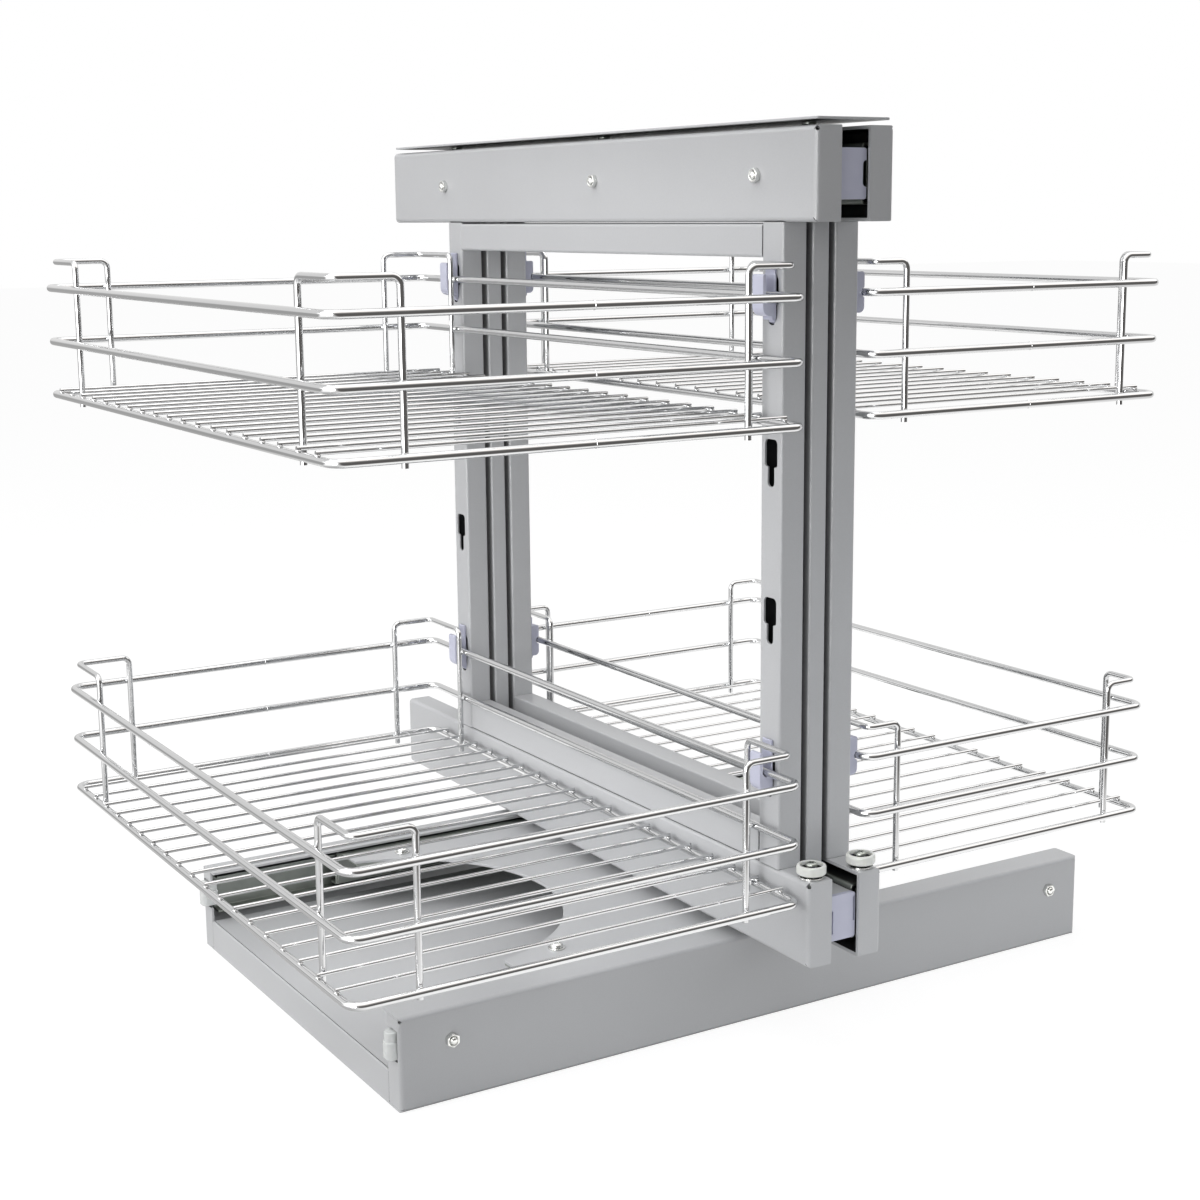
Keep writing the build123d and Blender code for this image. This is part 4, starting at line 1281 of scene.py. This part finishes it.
# Baskets: steel wire, butt-welded into three rings, with floor wires and corner loops resistance-welded
# to them, then nickel and chrome plated.
RING_R, LOOP_R, WIRE_R = 2.5, 2.0, 1.3
RING_STEP, RING_CORNER, LOOP_CORNER = 37.0, 8.5, 5.0
LOOP_FOOT, LOOP_RISE = 3.0, 18.0
FLOOR_NEAR, FLOOR_FAR = 19.0, 20.0
BASKET_Z = {"lower": 108.0, "upper": 396.0}
LEFT_X, LEFT_Y = (-333.0, -39.5), (-241.4, 246.0)
RIGHT_X, RIGHT_Y = (31.0, 272.0), (-217.0, 237.0)

# Chrome plate: bright chrome over nickel on drawn wire. Mirror-like and faintly warm, with the drawn
# wire's slight waviness and a breath of haze.
chrome_plate, tree, shader, place = new_material("bright_chrome_plate")
waviness = add_node(tree, "ShaderNodeTexNoise", {"Vector": place, "Scale": grain(9.0), "Detail": 2.0})
breath = add_node(tree, "ShaderNodeTexNoise", {"Vector": place, "Scale": grain(30.0), "Detail": 2.0})
vary(tree, shader, breath, roughness=(0.05, 0.10))
vary(tree, shader, waviness, relief=(0.08, 0.0003))
shader.inputs["Base Color"].default_value = linear("#CDCECF")
shader.inputs["Metallic"].default_value = 1.0


def swept(group, curve, start, end):
    """Ends a tree: a curve gets its round section, smooth sides and sharp cut ends, and its finish."""
    section = add_node(
        group, "GeometryNodeCurvePrimitiveCircle",
        {"Resolution": start["Sides"], "Radius": start["Wire Radius"]},
    )
    solid = add_node(
        group, "GeometryNodeCurveToMesh",
        {"Curve": curve, "Profile Curve": section.outputs["Curve"], "Fill Caps": True},
    )
    smooth = add_node(group, "GeometryNodeSetShadeSmooth", {"Geometry": solid.outputs["Mesh"]})
    edge = add_node(group, "GeometryNodeInputMeshEdgeAngle")
    steep = add_node(
        group, "FunctionNodeCompare", {0: edge.outputs["Unsigned Angle"], 1: 0.9}, data_type="FLOAT",
    )
    crisp = add_node(
        group, "GeometryNodeSetShadeSmooth",
        {"Geometry": smooth.outputs["Geometry"], "Selection": steep.outputs["Result"], "Shade Smooth": False},
        domain="EDGE",
    )
    made_real(group, crisp.outputs["Geometry"], start["Finish"], end)


bent_wire, start, end = node_group("bent_wire", (
    ("Wire Radius", "Float", RING_R), ("Bend Radius", "Float", RING_CORNER), ("Bend Steps", "Int", 9),
    ("Sides", "Int", 20), ("Finish", "Material", None),
))
runs = add_node(bent_wire, "GeometryNodeMeshToCurve", {"Mesh": start["Geometry"]})
bends = add_node(
    bent_wire, "GeometryNodeFilletCurve",
    {"Curve": runs.outputs["Curve"], "Count": start["Bend Steps"], "Radius": start["Bend Radius"],
     "Limit Radius": True}, mode="POLY",
)
swept(bent_wire, bends.outputs["Curve"], start, end)

wire_row, start, end = node_group("wire_row", (
    ("Count", "Int", 19), ("First", "Vector", None), ("Pitch", "Vector", None), ("Run", "Vector", None),
    ("Wire Radius", "Float", WIRE_R), ("Sides", "Int", 14), ("Finish", "Material", None),
))
row = add_node(
    wire_row, "GeometryNodeMeshLine",
    {"Count": start["Count"], "Start Location": start["First"], "Offset": start["Pitch"]},
)
run = add_node(wire_row, "GeometryNodeCurvePrimitiveLine", {"End": start["Run"]})
copies = add_node(
    wire_row, "GeometryNodeInstanceOnPoints",
    {"Points": row.outputs["Mesh"], "Instance": run.outputs["Curve"]},
)
lines = add_node(wire_row, "GeometryNodeRealizeInstances", {"Geometry": copies.outputs["Instances"]})
swept(wire_row, lines.outputs["Geometry"], start, end)

# Weld beads: a small swelling where wires were fused, its half-lengths given point by point.
weld_beads, start, end = node_group("weld_beads", (("Finish", "Material", None),))
bead = add_node(weld_beads, "GeometryNodeMeshIcoSphere", {"Radius": 1.0, "Subdivisions": 3})
round_bead = add_node(weld_beads, "GeometryNodeSetShadeSmooth", {"Geometry": bead.outputs["Mesh"]})
spread = add_node(weld_beads, "GeometryNodeInputNamedAttribute", {"Name": "spread"}, data_type="FLOAT_VECTOR")
beads = add_node(
    weld_beads, "GeometryNodeInstanceOnPoints",
    {"Points": start["Geometry"], "Instance": round_bead.outputs["Geometry"],
     "Scale": spread.outputs["Attribute"]},
)
made_real(weld_beads, beads.outputs["Instances"], start["Finish"], end)

for prefix, side, (x0, x1), (y0, y1), count, legs, butts in (
    ("left", -1, LEFT_X, LEFT_Y, 19, (42.0, 36.5, 48.0, 54.0), {"upper": (-180.0, -1), "lower": (-184.0, 1)}),
    ("right", 1, RIGHT_X, RIGHT_Y, 18, (28.0, 29.0, 30.0, 50.0), {"upper": (157.0, -1), "lower": (160.0, 1)}),
):
    body = f"{prefix}_frame"
    loop_points, loop_edges, weld_points, weld_spreads = [], [], [], []
    for level, z0 in BASKET_Z.items():
        name = f"{prefix}_{level}_basket"
        points, edges = [], []
        butt_x, butt_side = butts[level]
        for k in range(3):
            z = z0 + k * RING_STEP
            start_at = len(points)
            points += [(x0, y0, z), (x1, y0, z), (x1, y1, z), (x0, y1, z)]
            edges += [(start_at + i, start_at + (i + 1) % 4) for i in range(4)]
            weld_points.append((butt_x, y0 if butt_side < 0 else y1, z))
            weld_spreads.append((0.9, RING_R + 0.28, RING_R + 0.28))
        rings = grow(
            f"{name}_ring_wire", bent_wire,
            {"Wire Radius": RING_R, "Bend Radius": RING_CORNER, "Bend Steps": 9, "Sides": 24,
             "Finish": chrome_plate}, points, edges,
        )
        hand_over(rings, body, (), [f"{name}_rings"])
        first, last = y0 + FLOOR_NEAR, y1 - FLOOR_FAR
        floor_z = z0 + RING_R + WIRE_R + 0.05
        pitch = (last - first) / (count - 1)
        floor_wires = grow(
            f"{name}_floor_wire", wire_row,
            {"Count": count, "First": (x0 - 1.0, first, floor_z), "Pitch": (0.0, pitch, 0.0),
             "Run": (x1 - x0 + 2.0, 0.0, 0.0), "Wire Radius": WIRE_R, "Sides": 14, "Finish": chrome_plate},
        )
        hand_over(floor_wires, body, (), [f"{name}_floor_wires"])
        for i in range(count):
            for x in (x0, x1):
                weld_points.append((x, first + pitch * i, floor_z - WIRE_R))
                weld_spreads.append((1.9, 1.7, 0.9))
        inset = RING_R + LOOP_R + 0.05
        foot, top = z0 - RING_R - LOOP_FOOT, z0 + 2 * RING_STEP + LOOP_RISE
        for cx, sx, dx in ((x0, 1, legs[0]), (x1, -1, legs[1])):
            for cy, sy, dy in ((y0, 1, legs[2]), (y1, -1, legs[3])):
                ex, ey = cx + sx * inset, cy + sy * inset
                xb, ya = cx + sx * dx, cy + sy * dy
                start_at = len(loop_points)
                loop_points += [(ex, ya, foot), (ex, ya, top), (ex, ey, top), (xb, ey, top), (xb, ey, foot)]
                loop_edges += [(start_at + i, start_at + i + 1) for i in range(4)]
                for k in range(3):
                    z = z0 + k * RING_STEP
                    weld_points.append((cx + sx * RING_R, ya, z))
                    weld_spreads.append((0.9, 1.7, 2.2))
                    weld_points.append((xb, cy + sy * RING_R, z))
                    weld_spreads.append((1.7, 0.9, 2.2))
    loops = grow(
        f"{prefix}_loop_wire", bent_wire,
        {"Wire Radius": LOOP_R, "Bend Radius": LOOP_CORNER, "Bend Steps": 7, "Sides": 20,
         "Finish": chrome_plate},
        loop_points, loop_edges,
    )
    hand_over(loops, body, (), [f"{prefix}_corner_loops"])
    welds = grow(
        f"{prefix}_basket_welds", weld_beads, {"Finish": chrome_plate}, weld_points, spread=weld_spreads,
    )
    hand_over(welds, body)


# Hanger clips: moulded in the plugs' plastic. Each holds its basket's top ring in a slot, open upwards on
# the left and outwards on the right, and hooks into the keyhole behind its taller back plate.
for prefix, side, ring_x, depth, nose in (
    ("left", -1, LEFT_X[1], 10.5, 5.5), ("right", 1, RIGHT_X[0], 8.8, 3.6),
):
    face = TOWER_X + side * U_OUT
    clip_parts = []
    for z0 in BASKET_Z.values():
        z = z0 + 2 * RING_STEP
        block = rounded(
            [(face + side * 0.6, z - 12.2), (face + side * depth, z - 12.2), (face + side * depth, z + 12.3),
             (face + side * 0.6, z + 12.3)], [0.5, nose, 1.5, 0.5], 6,
        )
        back = rectangle(face + side * 0.05, face + side * 3.3, z - 14.5, z + 19.5, 1.2)
        neck = rectangle(face + side * 0.4, face - side * 3.5, z - 16.0, z - 6.0, 0.6)
        head = rectangle(face - side * 1.7, face - side * 4.5, z - 17.0, z - 5.0, 0.8)
        for y in (-POST_Y - POST_D / 2, POST_Y + POST_D / 2):
            for outline, half, gap in ((block, 5.3, 3.0), (back, 4.6, 3.2)):
                shape = new_piece("shape", [extruded(outline, "y", y - half, y + half)])
                inner_x = ring_x - side * gap
                outer_x = ring_x + side * (gap if side < 0 else 9.0)
                top = z + (22.0 if side < 0 else gap)
                r = gap - 0.05
                slot = rounded(
                    [(inner_x, z - gap), (outer_x, z - gap), (outer_x, top), (inner_x, top)],
                    [r, r, 0.0, 0.0] if side < 0 else [r, 0.0, 0.0, r], 6,
                )
                cut(shape, new_piece("slot", [extruded(slot, "y", y - 10.0, y + 10.0)]))
                clip_parts.append(taken(shape))
            clip_parts.append(extruded(neck, "y", y - 2.8, y + 2.8))
            clip_parts.append(extruded(head, "y", y - 5.0, y + 5.0))
    clips = new_piece(f"{prefix}_basket_clips", clip_parts)
    soften(clips, 0.5, 50.0, 3)
    hand_over(clips, f"{prefix}_frame", [clip_plastic], [f"{prefix}_hanger_clips"])
